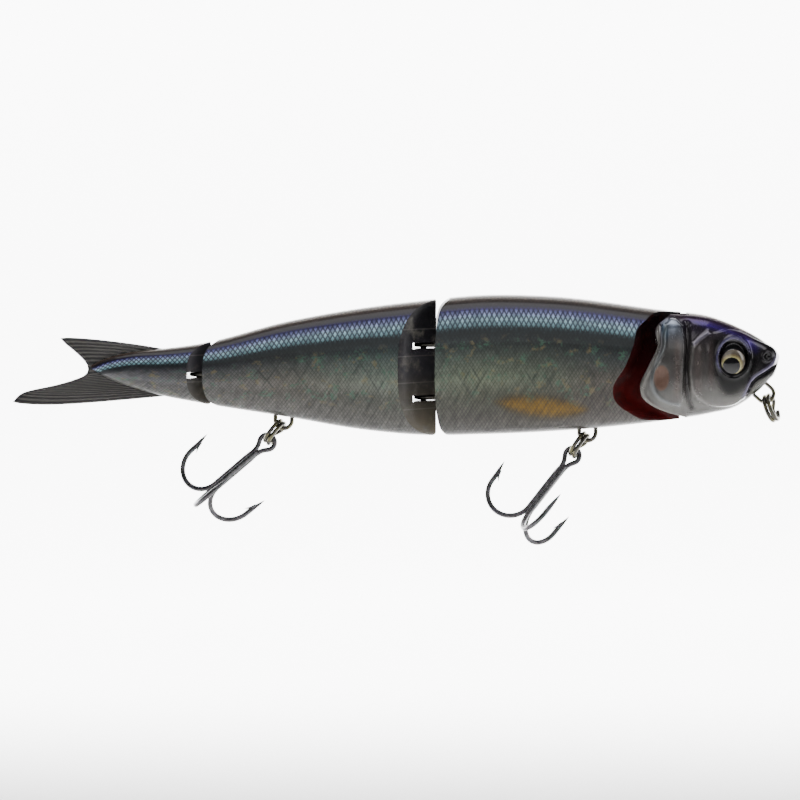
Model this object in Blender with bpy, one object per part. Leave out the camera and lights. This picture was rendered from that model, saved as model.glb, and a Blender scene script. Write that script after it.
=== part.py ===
"""Four-piece jointed fishing lure: hollow moulded fish body, wire hinges, rings and treble hooks.

Axes: +X towards the nose, +Z towards the back, so the flanks face +Y and -Y.
The origin is the centre of the line tie, the wire loop under the nose.
Lengths are millimetres here and become metres where a mesh is made.
"""
import math

import bmesh
import bpy
import numpy as np
from mathutils import Matrix, Vector

MM = 0.001

# Overall sizes of the body. Each length runs from one hinge axis to the next.
HEAD_LENGTH = 29.7
FRONT_LENGTH = 62.9
REAR_LENGTH = 58.5
TAIL_LENGTH = 27.9
BODY_DEPTH = 36.3
BODY_WIDTH = 21.0

# The nose tip and the middle of the flank, seen from the line tie.
NOSE_X = 3.3
MID_Z = 7.65

# Clearance between pieces that touch on the real object, and the seam of the two shells.
CLEAR = 0.3
SEAM = 0.3

# Moulding.
WALL = 1.8
FLOOR_Z = MID_Z - 0.117 * BODY_DEPTH
PEG_RADIUS = 1.0
PEG_DEPTH = 1.8

# Wire fittings.
WIRE = 1.1
TIE_WIRE = 1.0
LOOP_RADIUS = 2.15
TIE_RADIUS = 2.16
HINGE_RADIUS = 1.95
HINGE_PIN_RADIUS = 0.8
PIN_OVERHANG = 3.6
FOOT = 1.9
SLOT_HEIGHT = 2.4

# Split rings: two coils of one wire.
RING_RADIUS = 3.45
RING_WIRE = 0.9
RING_PITCH = 1.02

# Treble hooks.
HOOK_WIRE = 1.1
HOOK_EYE_RADIUS = 2.05
HOOK_DEPTH = 23.8
HOOK_REACH = 13.5
HOOK_FLARE = 0.6
HOOK_POINT = 11.8
BUNDLE = 0.60

# Eyes.
EYE_X = NOSE_X - 12.8
EYE_Z = MID_Z + 0.04 * BODY_DEPTH
EYE_RADIUS = 3.4
EYE_DEPTH = 1.5
EYE_DOME = 1.0

# Tail fin.
FIN_THICKNESS = 1.0
FIN_PIN_RADIUS = 0.7
FIN_PIN_FROM_TIP = 14.2
FIN_PIN_Z = MID_Z - 0.04 * BODY_DEPTH
FIN_PIN_REACH = 2.0

# Ballast.
HEAD_BALL_RADIUS = 2.6
FRONT_SLUG_RADIUS = 2.9
FRONT_SLUG_LENGTH = 14.0
REAR_SLUG_RADIUS = 2.2
REAR_SLUG_LENGTH = 10.0

BODY_LENGTH = HEAD_LENGTH + FRONT_LENGTH + REAR_LENGTH + TAIL_LENGTH
HEAD_AXIS = NOSE_X - HEAD_LENGTH
MID_AXIS = HEAD_AXIS - FRONT_LENGTH
TAIL_AXIS = MID_AXIS - REAR_LENGTH
TAIL_TIP = TAIL_AXIS - TAIL_LENGTH
FIN_PIN_X = TAIL_TIP + FIN_PIN_FROM_TIP
WIDE = BODY_WIDTH
TALL = BODY_DEPTH

# The fish outline: place along the body, then the back and belly as shares of the depth
# from the middle of the flank, and the half width as a share of half the body width.
OUTLINE = np.array([
    (0.000, 0.075, 0.040, 0.10),
    (0.004, 0.103, -0.034, 0.24),
    (0.016, 0.150, -0.115, 0.36),
    (0.034, 0.209, -0.205, 0.46),
    (0.060, 0.275, -0.295, 0.57),
    (0.100, 0.350, -0.350, 0.71),
    (0.166, 0.392, -0.400, 0.88),
    (0.330, 0.492, -0.478, 1.00),
    (0.435, 0.500, -0.500, 0.99),
    (0.518, 0.462, -0.505, 0.94),
    (0.610, 0.406, -0.464, 0.84),
    (0.715, 0.313, -0.376, 0.70),
    (0.845, 0.150, -0.272, 0.52),
    (0.895, 0.117, -0.225, 0.42),
    (0.945, 0.090, -0.158, 0.30),
    (0.980, 0.045, -0.090, 0.20),
    (1.000, 0.000, -0.030, 0.14),
])
FLANK_POWER = 2.7

# The gill covers at the head hinge: height as a share of the depth from the middle of the flank,
# reach of their rim behind the hinge axis, and reach of the shoulder of the front body that they
# stand clear of.
GILL = np.array([
    (-0.4725, -6.2, 5.4),
    (-0.3760, -6.0, 7.4),
    (-0.3347, -0.8, 9.6),
    (-0.2466, 5.6, 13.4),
    (-0.1446, 7.3, 14.2),
    (0.0069, 5.2, 11.2),
    (0.1474, 2.9, 9.2),
    (0.2989, 2.6, 7.2),
    (0.3678, -0.8, 4.2),
    (0.5055, -1.4, 3.6),
])
GILL[:, 0] = MID_Z + BODY_DEPTH * GILL[:, 0]

# Tail fin outline in side view, in front of the fork and round it, from the tail tip.
FIN_TOP_EDGE = ((18.4, 4.2), (13.0, 5.4), (7.0, 6.5), (1.0, 7.3), (-6.0, 7.9), (-8.1, 7.9))
FIN_FORK = ((-8.5, 7.4), (-5.1, 4.6), (-2.9, 2.2), (-1.3, -0.1), (-3.1, -2.6), (-9.0, -4.4))
FIN_LOW_EDGE = ((-17.5, -6.2), (-20.9, -8.4), (-21.2, -9.1), (-19.5, -9.7),
                (-12.0, -9.8), (0.5, -8.9), (10.0, -7.7), (18.4, -6.6))
FIN_ROOT_Z = MID_Z - 0.75

# Hinges: axis, heights of the wire eyes, nose reach and half width of the wedge, how deep the
# notch of the piece ahead goes, and the half width of its bottom.
HEAD_EYE_LEVELS = (MID_Z - 0.183 * BODY_DEPTH, MID_Z + 0.175 * BODY_DEPTH)
MID_EYE_LEVELS = (MID_Z - 0.233 * BODY_DEPTH, MID_Z + 0.145 * BODY_DEPTH)
TAIL_EYE_LEVELS = (MID_Z - 0.0675 * BODY_DEPTH,)
HEAD_HINGE = {"x": HEAD_AXIS, "eyes": HEAD_EYE_LEVELS, "nose": (3.8, 1.9), "notch": (5.8, 3.6)}
MID_HINGE = {"x": MID_AXIS, "eyes": MID_EYE_LEVELS, "nose": (3.3, 2.0), "notch": (7.0, 0.6)}
TAIL_HINGE = {"x": TAIL_AXIS, "eyes": TAIL_EYE_LEVELS, "nose": (3.1, 1.1), "notch": (5.8, 0.6)}
MID_SHOULDER_REACH = 6.7
MID_RIM_REACH = -2.8
TAIL_SHOULDER_REACH = 2.9
TAIL_RIM_REACH = -1.2
COVER = 1.3
LEG_BEYOND_NOTCH = 5.0

# Hook hangers and the way the rings and hooks hang: slopes are degrees below level, towards the
# tail, rolls turn a hook about its shank, and leans tip its bend towards the left flank.
FRONT_HANGER_BEHIND_HEAD = 20.0
REAR_HANGER_BEFORE_TAIL = 22.0
HANGER_DROP = 1.1
HANGER_LEG = 8.0
FRONT_RING_SLOPE = 57.0
REAR_RING_SLOPE = 53.0
FRONT_HOOK_SLOPE = 50.7
REAR_HOOK_SLOPE = 40.6
FRONT_HOOK_ROLL = -9.0
REAR_HOOK_ROLL = 0.0
FRONT_HOOK_LEAN = -12.0
REAR_HOOK_LEAN = 3.0
NOSE_RING_SLOPE = 113.0
NOSE_RING_TWIST = 20.0
FRONT_RING_TWIST = 16.0
REAR_RING_TWIST = 12.0
TIE_SLOPE = 138.5
TIE_LEG = 7.0

COLOURS = {
    "painted_shell": ((0.30, 0.31, 0.33), 0.3, 0.2),
    "steel": ((0.35, 0.35, 0.34), 0.25, 1.0),
    "black_nickel": ((0.05, 0.05, 0.05), 0.3, 1.0),
    "lead": ((0.22, 0.23, 0.25), 0.6, 1.0),
    "eye": ((0.45, 0.33, 0.12), 0.1, 0.3),
    "fin": ((0.07, 0.07, 0.065), 0.45, 0.0),
}


# ---------------------------------------------------------------- helpers

def material(name):
    found = bpy.data.materials.get(name)
    if found:
        return found
    colour, roughness, metallic = COLOURS[name]
    made = bpy.data.materials.new(name)
    made.use_nodes = True
    shader = made.node_tree.nodes["Principled BSDF"]
    shader.inputs["Base Color"].default_value = (*colour, 1.0)
    shader.inputs["Roughness"].default_value = roughness
    shader.inputs["Metallic"].default_value = metallic
    return made


def mesh_object(name, points, faces, finish=None, origin=(0.0, 0.0, 0.0)):
    """An object made of points in millimetres, with its origin at a place in millimetres."""
    start = Vector(origin)
    mesh = bpy.data.meshes.new(name)
    mesh.from_pydata([(Vector(point) - start) * MM for point in points], [], faces)
    clean = bmesh.new()
    clean.from_mesh(mesh)
    bmesh.ops.recalc_face_normals(clean, faces=clean.faces)
    clean.to_mesh(mesh)
    clean.free()
    made = bpy.data.objects.new(name, mesh)
    made.location = start * MM
    bpy.context.scene.collection.objects.link(made)
    if finish:
        mesh.materials.append(material(finish))
    return made


def cutter(name, points, faces):
    made = mesh_object(name, points, faces)
    made.hide_render = True
    made.display_type = "WIRE"
    return made


def boolean(target, tool, operation):
    step = target.modifiers.new(operation.lower(), "BOOLEAN")
    step.operation = operation
    step.solver = "EXACT"
    step.object = tool


def loft_faces(rings, sides, closed=False):
    """Faces that join rings of the same number of points, with caps unless they close."""
    faces = []
    for ring in range(rings if closed else rings - 1):
        following = (ring + 1) % rings
        for side in range(sides):
            beside = (side + 1) % sides
            faces.append((ring * sides + side, ring * sides + beside,
                          following * sides + beside, following * sides + side))
    if not closed:
        faces.append(tuple(range(sides)))
        faces.append(tuple((rings - 1) * sides + side for side in range(sides)))
    return faces


def box(low, high):
    """Points and faces of a box between two corners."""
    points = [(x, y, z) for x in (low[0], high[0])
              for y, z in ((low[1], low[2]), (high[1], low[2]), (high[1], high[2]), (low[1], high[2]))]
    return points, loft_faces(2, 4)


def rod(start, end, radius, sides=20):
    """Points and faces of a round bar."""
    start, end = Vector(start), Vector(end)
    turn = (end - start).to_track_quat("Z", "Y")
    points = []
    for centre in (start, end):
        for side in range(sides):
            angle = math.tau * side / sides
            points.append(centre + turn @ Vector((radius * math.cos(angle), radius * math.sin(angle), 0)))
    return points, loft_faces(2, sides)


def ball(centre, radius, sides=16):
    """Points and faces of a ball made of level rings, with small flats at its poles."""
    points = []
    levels = sides // 2
    for level in range(levels):
        angle = math.pi * (level + 0.5) / levels
        for side in range(sides):
            around = math.tau * side / sides
            points.append((centre[0] + radius * math.sin(angle) * math.cos(around),
                           centre[1] + radius * math.sin(angle) * math.sin(around),
                           centre[2] + radius * math.cos(angle)))
    return points, loft_faces(levels, sides)


def tube(route, radius, sides=8, closed=False, spin=0.0):
    """Points and faces of round wire along a route. The radius may be a list, one per point."""
    route = [Vector(point) for point in route]
    count = len(route)
    radii = radius if isinstance(radius, list) else [radius] * count
    points = []
    across = None
    for index, centre in enumerate(route):
        before = route[index - 1] if index > 0 or closed else centre
        after = route[(index + 1) % count] if index < count - 1 or closed else centre
        along = (after - before).normalized()
        if across is None:
            across = along.orthogonal().normalized()
        across = (across - along * across.dot(along)).normalized()
        up = along.cross(across)
        for side in range(sides):
            angle = math.tau * side / sides + spin
            points.append(centre + radii[index] * (across * math.cos(angle) + up * math.sin(angle)))
    return points, loft_faces(count, sides, closed)


def smooth_value(table, place, column):
    """A smooth curve through one column of a table whose first column rises."""
    places, values = table[:, 0], table[:, column]
    place = min(max(place, places[0]), places[-1])
    index = min(int(np.searchsorted(places, place, side="right")) - 1, len(places) - 2)
    slopes = np.gradient(values, places)
    span = places[index + 1] - places[index]
    t = (place - places[index]) / span
    return float((2 * t**3 - 3 * t**2 + 1) * values[index] + (t**3 - 2 * t**2 + t) * span * slopes[index]
                 + (3 * t**2 - 2 * t**3) * values[index + 1] + (t**3 - t**2) * span * slopes[index + 1])


def body_section(x):
    """Back, belly and half width of the fish at one place along X."""
    place = (NOSE_X - x) / BODY_LENGTH
    back = MID_Z + BODY_DEPTH * smooth_value(OUTLINE, place, 1)
    belly = MID_Z + BODY_DEPTH * smooth_value(OUTLINE, place, 2)
    half = 0.5 * BODY_WIDTH * smooth_value(OUTLINE, place, 3)
    return back, belly, half


def half_width(x, z):
    """Half width of the fish at a place and height."""
    back, belly, half = body_section(x)
    rise = min(abs(z - 0.5 * (back + belly)) / (0.5 * (back - belly)), 1.0)
    return half * (1.0 - rise**FLANK_POWER) ** (1.0 / FLANK_POWER)


def half_body(side, places):
    """One side of the fish through the given places, as a loft of flat-sided ovals."""
    points = []
    around = 14
    for x in places:
        back, belly, half = body_section(x)
        middle, rise = 0.5 * (back + belly), 0.5 * (back - belly)
        for turn in range(around + 1):
            angle = math.pi * (0.5 - turn / around)
            y = half * max(math.cos(angle), 0.0) ** (2.0 / FLANK_POWER)
            z = rise * abs(math.sin(angle)) ** (2.0 / FLANK_POWER) * (1.0 if angle > 0 else -1.0)
            points.append((x, side * max(y, 0.5 * SEAM), middle + z))
    return points, loft_faces(len(places), around + 1)


def even_places(front, rear, steps=12):
    return [front + (rear - front) * step / steps for step in range(steps + 1)]


def nose_places():
    """Places along the head that crowd together towards the nose, to follow its rounding."""
    reach = HEAD_LENGTH + 12.0
    return [NOSE_X - reach * (step / 16) ** 2.0 for step in range(17)]


# ---------------------------------------------------------------- hinge shapes in plan

def wedge_half(hinge, z):
    """The wedge of a rear piece in plan, at one height, from its nose outwards on the +Y side."""
    nose_reach, nose_half = hinge["nose"]
    if hinge is HEAD_HINGE:
        rim = smooth_value(GILL, z, 1)
        shoulder = smooth_value(GILL, z, 2)
        corner = rim + 0.4 * (shoulder - rim)
        corner_half = nose_half + 0.16 * (nose_reach + corner)
        surface = max(half_width(hinge["x"] - shoulder, z), corner_half + 1.0)
        slope = (surface - corner_half) / (shoulder - corner)
    else:
        shoulder = MID_SHOULDER_REACH if hinge is MID_HINGE else TAIL_SHOULDER_REACH
        surface = body_section(hinge["x"] - shoulder)[2]
        slope = (surface - nose_half) / (nose_reach + shoulder)
        corner = 0.4 * shoulder
        corner_half = nose_half + slope * (nose_reach + corner)
    far = corner + (WIDE - corner_half) / slope
    x = hinge["x"]
    return [(x + nose_reach, nose_half), (x - corner, corner_half), (x - far, WIDE)]


def notch_half(hinge, z):
    """The notch of the piece ahead in plan, at one height, from its middle outwards."""
    depth, floor_half = hinge["notch"]
    x = hinge["x"]
    if hinge is HEAD_HINGE:
        rim = max(smooth_value(GILL, z, 1), -depth + 0.4)
        surface = half_width(x - rim, z)
        inner = max(surface - COVER, floor_half + 0.15 * (depth + rim))
        return [(x + depth, floor_half), (x - rim, inner), (x - rim - 0.05, WIDE)]
    rim = MID_RIM_REACH if hinge is MID_HINGE else TAIL_RIM_REACH
    surface = body_section(x - rim)[2]
    slope = (surface - floor_half) / (depth + rim)
    corner = 0.5 * (rim - depth)
    corner_half = floor_half + slope * (depth + corner)
    far = corner + (WIDE - corner_half) / slope
    return [(x + depth, floor_half), (x - corner, corner_half), (x - far, WIDE)]


def plan_levels(*hinges):
    """Heights at which the plan is drawn: the gill table's own where the gill covers are."""
    if HEAD_HINGE in hinges:
        return [float(z) for z in GILL[:, 0]] + [TALL]
    return [MID_Z - TALL, MID_Z + TALL]


def plan_solid(front_half, rear_half, levels):
    """A solid whose plan at each height runs between a front and a rear edge."""
    points = []
    for z in [levels[0] - TALL] + levels[1:]:
        front = front_half(z)
        rear = rear_half(z)
        outline = front + rear[::-1] + [(x, -y) for x, y in rear] + [(x, -y) for x, y in front[::-1]]
        points.extend((x, y, z) for x, y in outline)
    return points, loft_faces(len(levels), len(outline))


# ---------------------------------------------------------------- wire

def staple(place, radius, leg, turn, foot=FOOT):
    """Route of a wire loop whose two legs run along the turned +X and end in feet."""
    route = [(leg, radius + foot), (leg, radius + 0.6), (leg - 0.6, radius)]
    for step in range(13):
        angle = math.pi * (0.5 + step / 12)
        route.append((radius * math.cos(angle), radius * math.sin(angle)))
    route += [(leg - 0.6, -radius), (leg, -radius - 0.6), (leg, -radius - foot)]
    return [Vector(place) + turn @ Vector((u, v, 0.0)) for u, v in route]


def side_turn(slope):
    """Turns a flat drawing into the XZ plane, its +X axis sloping up from level towards the nose."""
    return Matrix.Rotation(math.radians(-slope), 3, "Y") @ Matrix.Rotation(math.radians(90.0), 3, "X")


def hinge_staple(hinge, z):
    leg = hinge["notch"][0] + LEG_BEYOND_NOTCH
    return staple((hinge["x"], 0.0, z), HINGE_RADIUS, leg, Matrix.Identity(3))


def hanger_staple(hanger):
    return staple((hanger[0], 0.0, hanger[1]), LOOP_RADIUS, HANGER_LEG, side_turn(90.0))


def tie_staple():
    return staple((0.0, 0.0, 0.0), TIE_RADIUS, TIE_LEG, side_turn(TIE_SLOPE), foot=1.4)


def flat_pocket(hinge, z):
    """The T-shaped pocket that a hinge wire lies in once the shells are closed on it."""
    x = hinge["x"]
    tall = 0.5 * WIRE + CLEAR
    leg_half = HINGE_RADIUS + 0.5 * WIRE + CLEAR
    foot_half = HINGE_RADIUS + FOOT + CLEAR
    leg = hinge["notch"][0] + LEG_BEYOND_NOTCH
    stem = box((x, -leg_half, z - tall), (x + leg, leg_half, z + tall))
    head_low = (x + leg - 0.5 * WIRE - CLEAR, -foot_half, z - tall)
    head_high = (x + leg + 0.5 * WIRE + CLEAR, foot_half, z + tall)
    return stem, box(head_low, head_high)


def seat_gap(hole_radius):
    """How far the middle of a double ring coil sits from the middle of a round hole it hangs in."""
    room = hole_radius - CLEAR - 0.5 * RING_WIRE
    return math.sqrt(max(room**2 - (0.5 * RING_PITCH) ** 2, 0.0))


def slope_vector(slope):
    """Direction in the XZ plane, sloping below level towards the tail."""
    return Vector((-math.cos(math.radians(slope)), 0.0, -math.sin(math.radians(slope))))


def ring_route(centre, along, twist):
    """Route of a split ring: two flat coils joined by one short step from coil to coil."""
    normal = along.cross(Vector((0.0, 1.0, 0.0))).normalized()
    twist_turn = Matrix.Rotation(math.radians(twist), 3, along)
    normal = twist_turn @ normal
    beside = normal.cross(along)
    route = []
    steps = 44
    start, end = 0.09, 1.91
    for step in range(steps + 1):
        turn = start + (end - start) * step / steps
        rise = min(max((turn - 0.93) / 0.14, 0.0), 1.0)
        level = RING_PITCH * (rise * rise * (3.0 - 2.0 * rise) - 0.5)
        angle = math.tau * turn + math.radians(90.0)
        offset = along * math.cos(angle) + beside * math.sin(angle)
        route.append(centre + RING_RADIUS * offset + level * normal)
    return route


def hook_arm_route(turn_angle):
    """Route of one arm of a treble, in the hook's own axes: Z along the shank towards the bend."""
    bend = 0.5 * (HOOK_REACH - HOOK_FLARE - BUNDLE)
    bottom = HOOK_DEPTH - bend
    route = [(BUNDLE, HOOK_EYE_RADIUS + 1.2), (BUNDLE, 0.5 * bottom)]
    for step in range(13):
        angle = math.pi * step / 12
        route.append((BUNDLE + bend * (1.0 - math.cos(angle)), bottom + bend * math.sin(angle)))
    route.append((HOOK_REACH - 0.4 * HOOK_FLARE, HOOK_POINT + 2.5))
    route.append((HOOK_REACH, HOOK_POINT))
    cosine, sine = math.cos(turn_angle), math.sin(turn_angle)
    return [Vector((across * cosine, across * sine, down)) for across, down in route]


def treble_solids():
    """An eye ring, three arms and a neck, to be united into one hook."""
    eye = [Vector((HOOK_EYE_RADIUS * math.sin(math.tau * step / 18), 0.0,
                   HOOK_EYE_RADIUS * math.cos(math.tau * step / 18))) for step in range(18)]
    yield tube(eye, 0.5 * HOOK_WIRE, sides=8, closed=True)
    yield rod((0, 0, HOOK_EYE_RADIUS), (0, 0, HOOK_EYE_RADIUS + 3.0), 0.72, sides=9)
    for arm in range(3):
        angle = math.tau * arm / 3 - math.radians(90.0)
        route = hook_arm_route(angle)
        radii = [0.5 * HOOK_WIRE] * (len(route) - 2) + [0.4 * HOOK_WIRE, 0.06]
        yield tube(route, radii, sides=8, spin=0.2 + 0.1 * arm)


# ---------------------------------------------------------------- shells

def peg_and_socket(shells, x, z):
    """A locating peg on the left shell and its socket in the right one."""
    left, right = shells
    peg = cutter(f"{left.name}_peg", *rod((x, 1.5, z), (x, -PEG_DEPTH, z), PEG_RADIUS, sides=12))
    boolean(left, peg, "UNION")
    socket = cutter(f"{right.name}_socket",
                    *rod((x, 1.0, z), (x, -PEG_DEPTH - CLEAR, z), PEG_RADIUS + CLEAR, sides=12))
    boolean(right, socket, "DIFFERENCE")


def shell_pair(name, bodies, plan, cuts, pegs):
    """Left and right shells of one body piece: cut from the fish by its plan, then hollowed."""
    keep = cutter(f"{name}_plan", *plan)
    made = []
    for label, side in (("left", 1.0), ("right", -1.0)):
        shell = mesh_object(f"{name}_shell_{label}", *bodies[side], finish="painted_shell")
        boolean(shell, keep, "INTERSECT")
        made.append(shell)
    for number, cut in enumerate(cuts):
        tool = cutter(f"{name}_cut_{number}", *cut)
        for shell in made:
            boolean(shell, tool, "DIFFERENCE")
    for x, z in pegs:
        peg_and_socket(made, x, z)
    return made


def air_chamber(front, rear):
    """The hollow above the ballast floor, as one solid across both shells."""
    points = []
    around = 16
    steps = 6
    for step in range(steps + 1):
        x = front + (rear - front) * step / steps
        back, belly, half = body_section(x)
        middle, rise, half = 0.5 * (back + belly), 0.5 * (back - belly) - WALL, half - WALL
        for turn in range(around):
            angle = math.tau * turn / around + 0.01
            y = half * math.copysign(abs(math.cos(angle)) ** (2.0 / FLANK_POWER), math.cos(angle))
            z = rise * math.copysign(abs(math.sin(angle)) ** (2.0 / FLANK_POWER), math.sin(angle))
            points.append((x, y, max(middle + z, FLOOR_Z + 0.002 * turn)))
    return points, loft_faces(steps + 1, around)


def wedge_cuts(hinge):
    """Slots for the wire eyes and the bore for the pin, in the wedge of a rear piece."""
    x = hinge["x"]
    reach = HINGE_RADIUS + 0.5 * WIRE + 2.0 * CLEAR
    for z in hinge["eyes"]:
        low = (x - reach, -WIDE, z - 0.5 * SLOT_HEIGHT)
        yield box(low, (x + hinge["nose"][0] + 2.0, WIDE, z + 0.5 * SLOT_HEIGHT))
    low, high = pin_ends(hinge)
    yield rod((x, 0, low - CLEAR), (x, 0, high + CLEAR), HINGE_PIN_RADIUS + CLEAR)


def pin_ends(hinge):
    overhang = 0.5 * SLOT_HEIGHT + PIN_OVERHANG
    return min(hinge["eyes"]) - overhang, max(hinge["eyes"]) + overhang


def eye_axis(side):
    """Middle of an eye on the skin of the head, and the way it looks."""
    ahead = half_width(EYE_X + 2.0, EYE_Z)
    behind = half_width(EYE_X - 2.0, EYE_Z)
    outward = Vector((behind - ahead, side * 4.0, 0.0)).normalized()
    centre = Vector((EYE_X, side * half_width(EYE_X, EYE_Z), EYE_Z))
    return centre, outward


def slug_cut(x, z, radius, length):
    return rod((x - CLEAR - 0.5 * length, 0, z), (x + CLEAR + 0.5 * length, 0, z), radius + CLEAR)


# ---------------------------------------------------------------- places that follow from the sizes

def hanger_place(x):
    """Centre of a hanger loop, just below the belly."""
    return x, body_section(x)[1] - HANGER_DROP


FRONT_HANGER = hanger_place(HEAD_AXIS - FRONT_HANGER_BEHIND_HEAD)
REAR_HANGER = hanger_place(TAIL_AXIS + REAR_HANGER_BEFORE_TAIL)
HEAD_BALL = (0.5 * (HEAD_AXIS + NOSE_X) - 1.2, 0.0, MID_Z - 0.2 * BODY_DEPTH)
FRONT_SLUG = (0.5 * (FRONT_HANGER[0] + MID_AXIS) + 4.0, MID_Z - 0.315 * BODY_DEPTH)
REAR_SLUG = (0.5 * (MID_AXIS + REAR_HANGER[0]) - 4.0, MID_Z - 0.26 * BODY_DEPTH)


def build_head():
    levels = plan_levels(HEAD_HINGE)
    front = NOSE_X + 5.0
    plan = plan_solid(lambda z: [(front, 1.0), (front, 2.0), (front, WIDE)],
                      lambda z: notch_half(HEAD_HINGE, z), levels)
    cuts = [tube(tie_staple(), 0.5 * TIE_WIRE + CLEAR), ball(HEAD_BALL, HEAD_BALL_RADIUS + CLEAR)]
    for z in HEAD_HINGE["eyes"]:
        cuts.extend(flat_pocket(HEAD_HINGE, z))
    bodies = {side: half_body(side, nose_places()) for side in (1.0, -1.0)}
    shells = shell_pair("head", bodies, plan, cuts, [(EYE_X - 3.0, EYE_Z + 6.0)])
    for shell, side in zip(shells, (1.0, -1.0)):
        centre, outward = eye_axis(side)
        socket = cutter(f"{shell.name}_eye_socket",
                        *rod(centre - outward * (EYE_DEPTH + CLEAR), centre + outward * 4.0,
                             EYE_RADIUS + CLEAR, sides=24))
        boolean(shell, socket, "DIFFERENCE")


def build_front():
    plan = plan_solid(lambda z: wedge_half(HEAD_HINGE, z), lambda z: notch_half(MID_HINGE, z),
                      plan_levels(HEAD_HINGE))
    cuts = list(wedge_cuts(HEAD_HINGE))
    cuts.append(tube(hanger_staple(FRONT_HANGER), 0.5 * WIRE + CLEAR, spin=0.2))
    cuts.append(slug_cut(*FRONT_SLUG, FRONT_SLUG_RADIUS, FRONT_SLUG_LENGTH))
    for z in MID_HINGE["eyes"]:
        cuts.extend(flat_pocket(MID_HINGE, z))
    chamber_front = HEAD_AXIS - max(GILL[:, 2]) - 0.5
    chamber_rear = MID_AXIS + MID_HINGE["notch"][0] + LEG_BEYOND_NOTCH + 2.0
    cuts.append(air_chamber(chamber_front, chamber_rear))
    bodies = {side: half_body(side, even_places(HEAD_AXIS + 5.0, MID_AXIS + 1.0)) for side in (1.0, -1.0)}
    pegs = [(HEAD_AXIS - 10.0, MID_Z), (chamber_rear - 2.5, MID_Z - 1.6)]
    shell_pair("front", bodies, plan, cuts, pegs)


def build_rear():
    plan = plan_solid(lambda z: wedge_half(MID_HINGE, z), lambda z: notch_half(TAIL_HINGE, z),
                      plan_levels(MID_HINGE))
    cuts = list(wedge_cuts(MID_HINGE))
    cuts.append(tube(hanger_staple(REAR_HANGER), 0.5 * WIRE + CLEAR, spin=0.2))
    cuts.append(slug_cut(*REAR_SLUG, REAR_SLUG_RADIUS, REAR_SLUG_LENGTH))
    for z in TAIL_HINGE["eyes"]:
        cuts.extend(flat_pocket(TAIL_HINGE, z))
    chamber_front = MID_AXIS - 14.0
    chamber_rear = TAIL_AXIS + TAIL_HINGE["notch"][0] + LEG_BEYOND_NOTCH + 2.0
    cuts.append(air_chamber(chamber_front, chamber_rear))
    bodies = {side: half_body(side, even_places(MID_AXIS + 4.5, TAIL_AXIS + 1.0)) for side in (1.0, -1.0)}
    pegs = [(chamber_front + 4.0, MID_Z - 1.6), (chamber_rear - 3.5, MID_Z + 3.4)]
    shell_pair("rear", bodies, plan, cuts, pegs)


def fin_outline():
    """The fin in side view, one closed loop, placed from the tail tip."""
    shape = FIN_TOP_EDGE + FIN_FORK + FIN_LOW_EDGE
    return [(TAIL_TIP + u, FIN_ROOT_Z + v) for u, v in shape]


def plate(outline, half_thickness):
    """A flat plate in the XZ plane."""
    points = [(x, y, z) for y in (-half_thickness, half_thickness) for x, z in outline]
    return points, loft_faces(2, len(outline))


def build_tail():
    behind = TAIL_TIP - 5.0
    plan = plan_solid(lambda z: wedge_half(TAIL_HINGE, z),
                      lambda z: [(behind, 1.0), (behind, 2.0), (behind, WIDE)], plan_levels(TAIL_HINGE))
    root = TAIL_TIP + FIN_TOP_EDGE[0][0] + CLEAR
    fin_slot = box((behind, -0.5 * FIN_THICKNESS - CLEAR, MID_Z - TALL),
                   (root, 0.5 * FIN_THICKNESS + CLEAR, MID_Z + TALL))
    reach = 0.5 * FIN_THICKNESS + FIN_PIN_REACH + CLEAR
    cuts = list(wedge_cuts(TAIL_HINGE))
    cuts.append(fin_slot)
    cuts.append(rod((FIN_PIN_X, -reach, FIN_PIN_Z), (FIN_PIN_X, reach, FIN_PIN_Z), FIN_PIN_RADIUS + CLEAR))
    bodies = {side: half_body(side, even_places(TAIL_AXIS + 4.5, TAIL_TIP)) for side in (1.0, -1.0)}
    shell_pair("tail", bodies, plan, cuts, [(0.5 * (TAIL_AXIS + root) - 1.2, MID_Z - 1.6)])


def build_fin():
    fin = mesh_object("tail_fin", *plate(fin_outline(), 0.5 * FIN_THICKNESS), finish="fin")
    bore = cutter("tail_fin_bore", *rod((FIN_PIN_X, -2, FIN_PIN_Z), (FIN_PIN_X, 2, FIN_PIN_Z),
                                        FIN_PIN_RADIUS + CLEAR))
    boolean(fin, bore, "DIFFERENCE")
    reach = 0.5 * FIN_THICKNESS + FIN_PIN_REACH
    mesh_object("fin_pin", *rod((FIN_PIN_X, -reach, FIN_PIN_Z), (FIN_PIN_X, reach, FIN_PIN_Z),
                                FIN_PIN_RADIUS), finish="steel")


def build_eyes():
    for label, side in (("left", 1.0), ("right", -1.0)):
        centre, outward = eye_axis(side)
        turn = outward.to_track_quat("Z", "Y")
        sides = 24
        levels = [(-EYE_DEPTH, EYE_RADIUS)]
        levels += [(EYE_DOME * math.sin(math.radians(a)), EYE_RADIUS * math.cos(math.radians(a)))
                   for a in (0, 25, 50, 75)]
        points = []
        for height, radius in levels:
            for step in range(sides):
                angle = math.tau * step / sides
                spot = Vector((radius * math.cos(angle), radius * math.sin(angle), height))
                points.append(centre + turn @ spot)
        mesh_object(f"eye_{label}", points, loft_faces(len(levels), sides), finish="eye")


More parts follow.
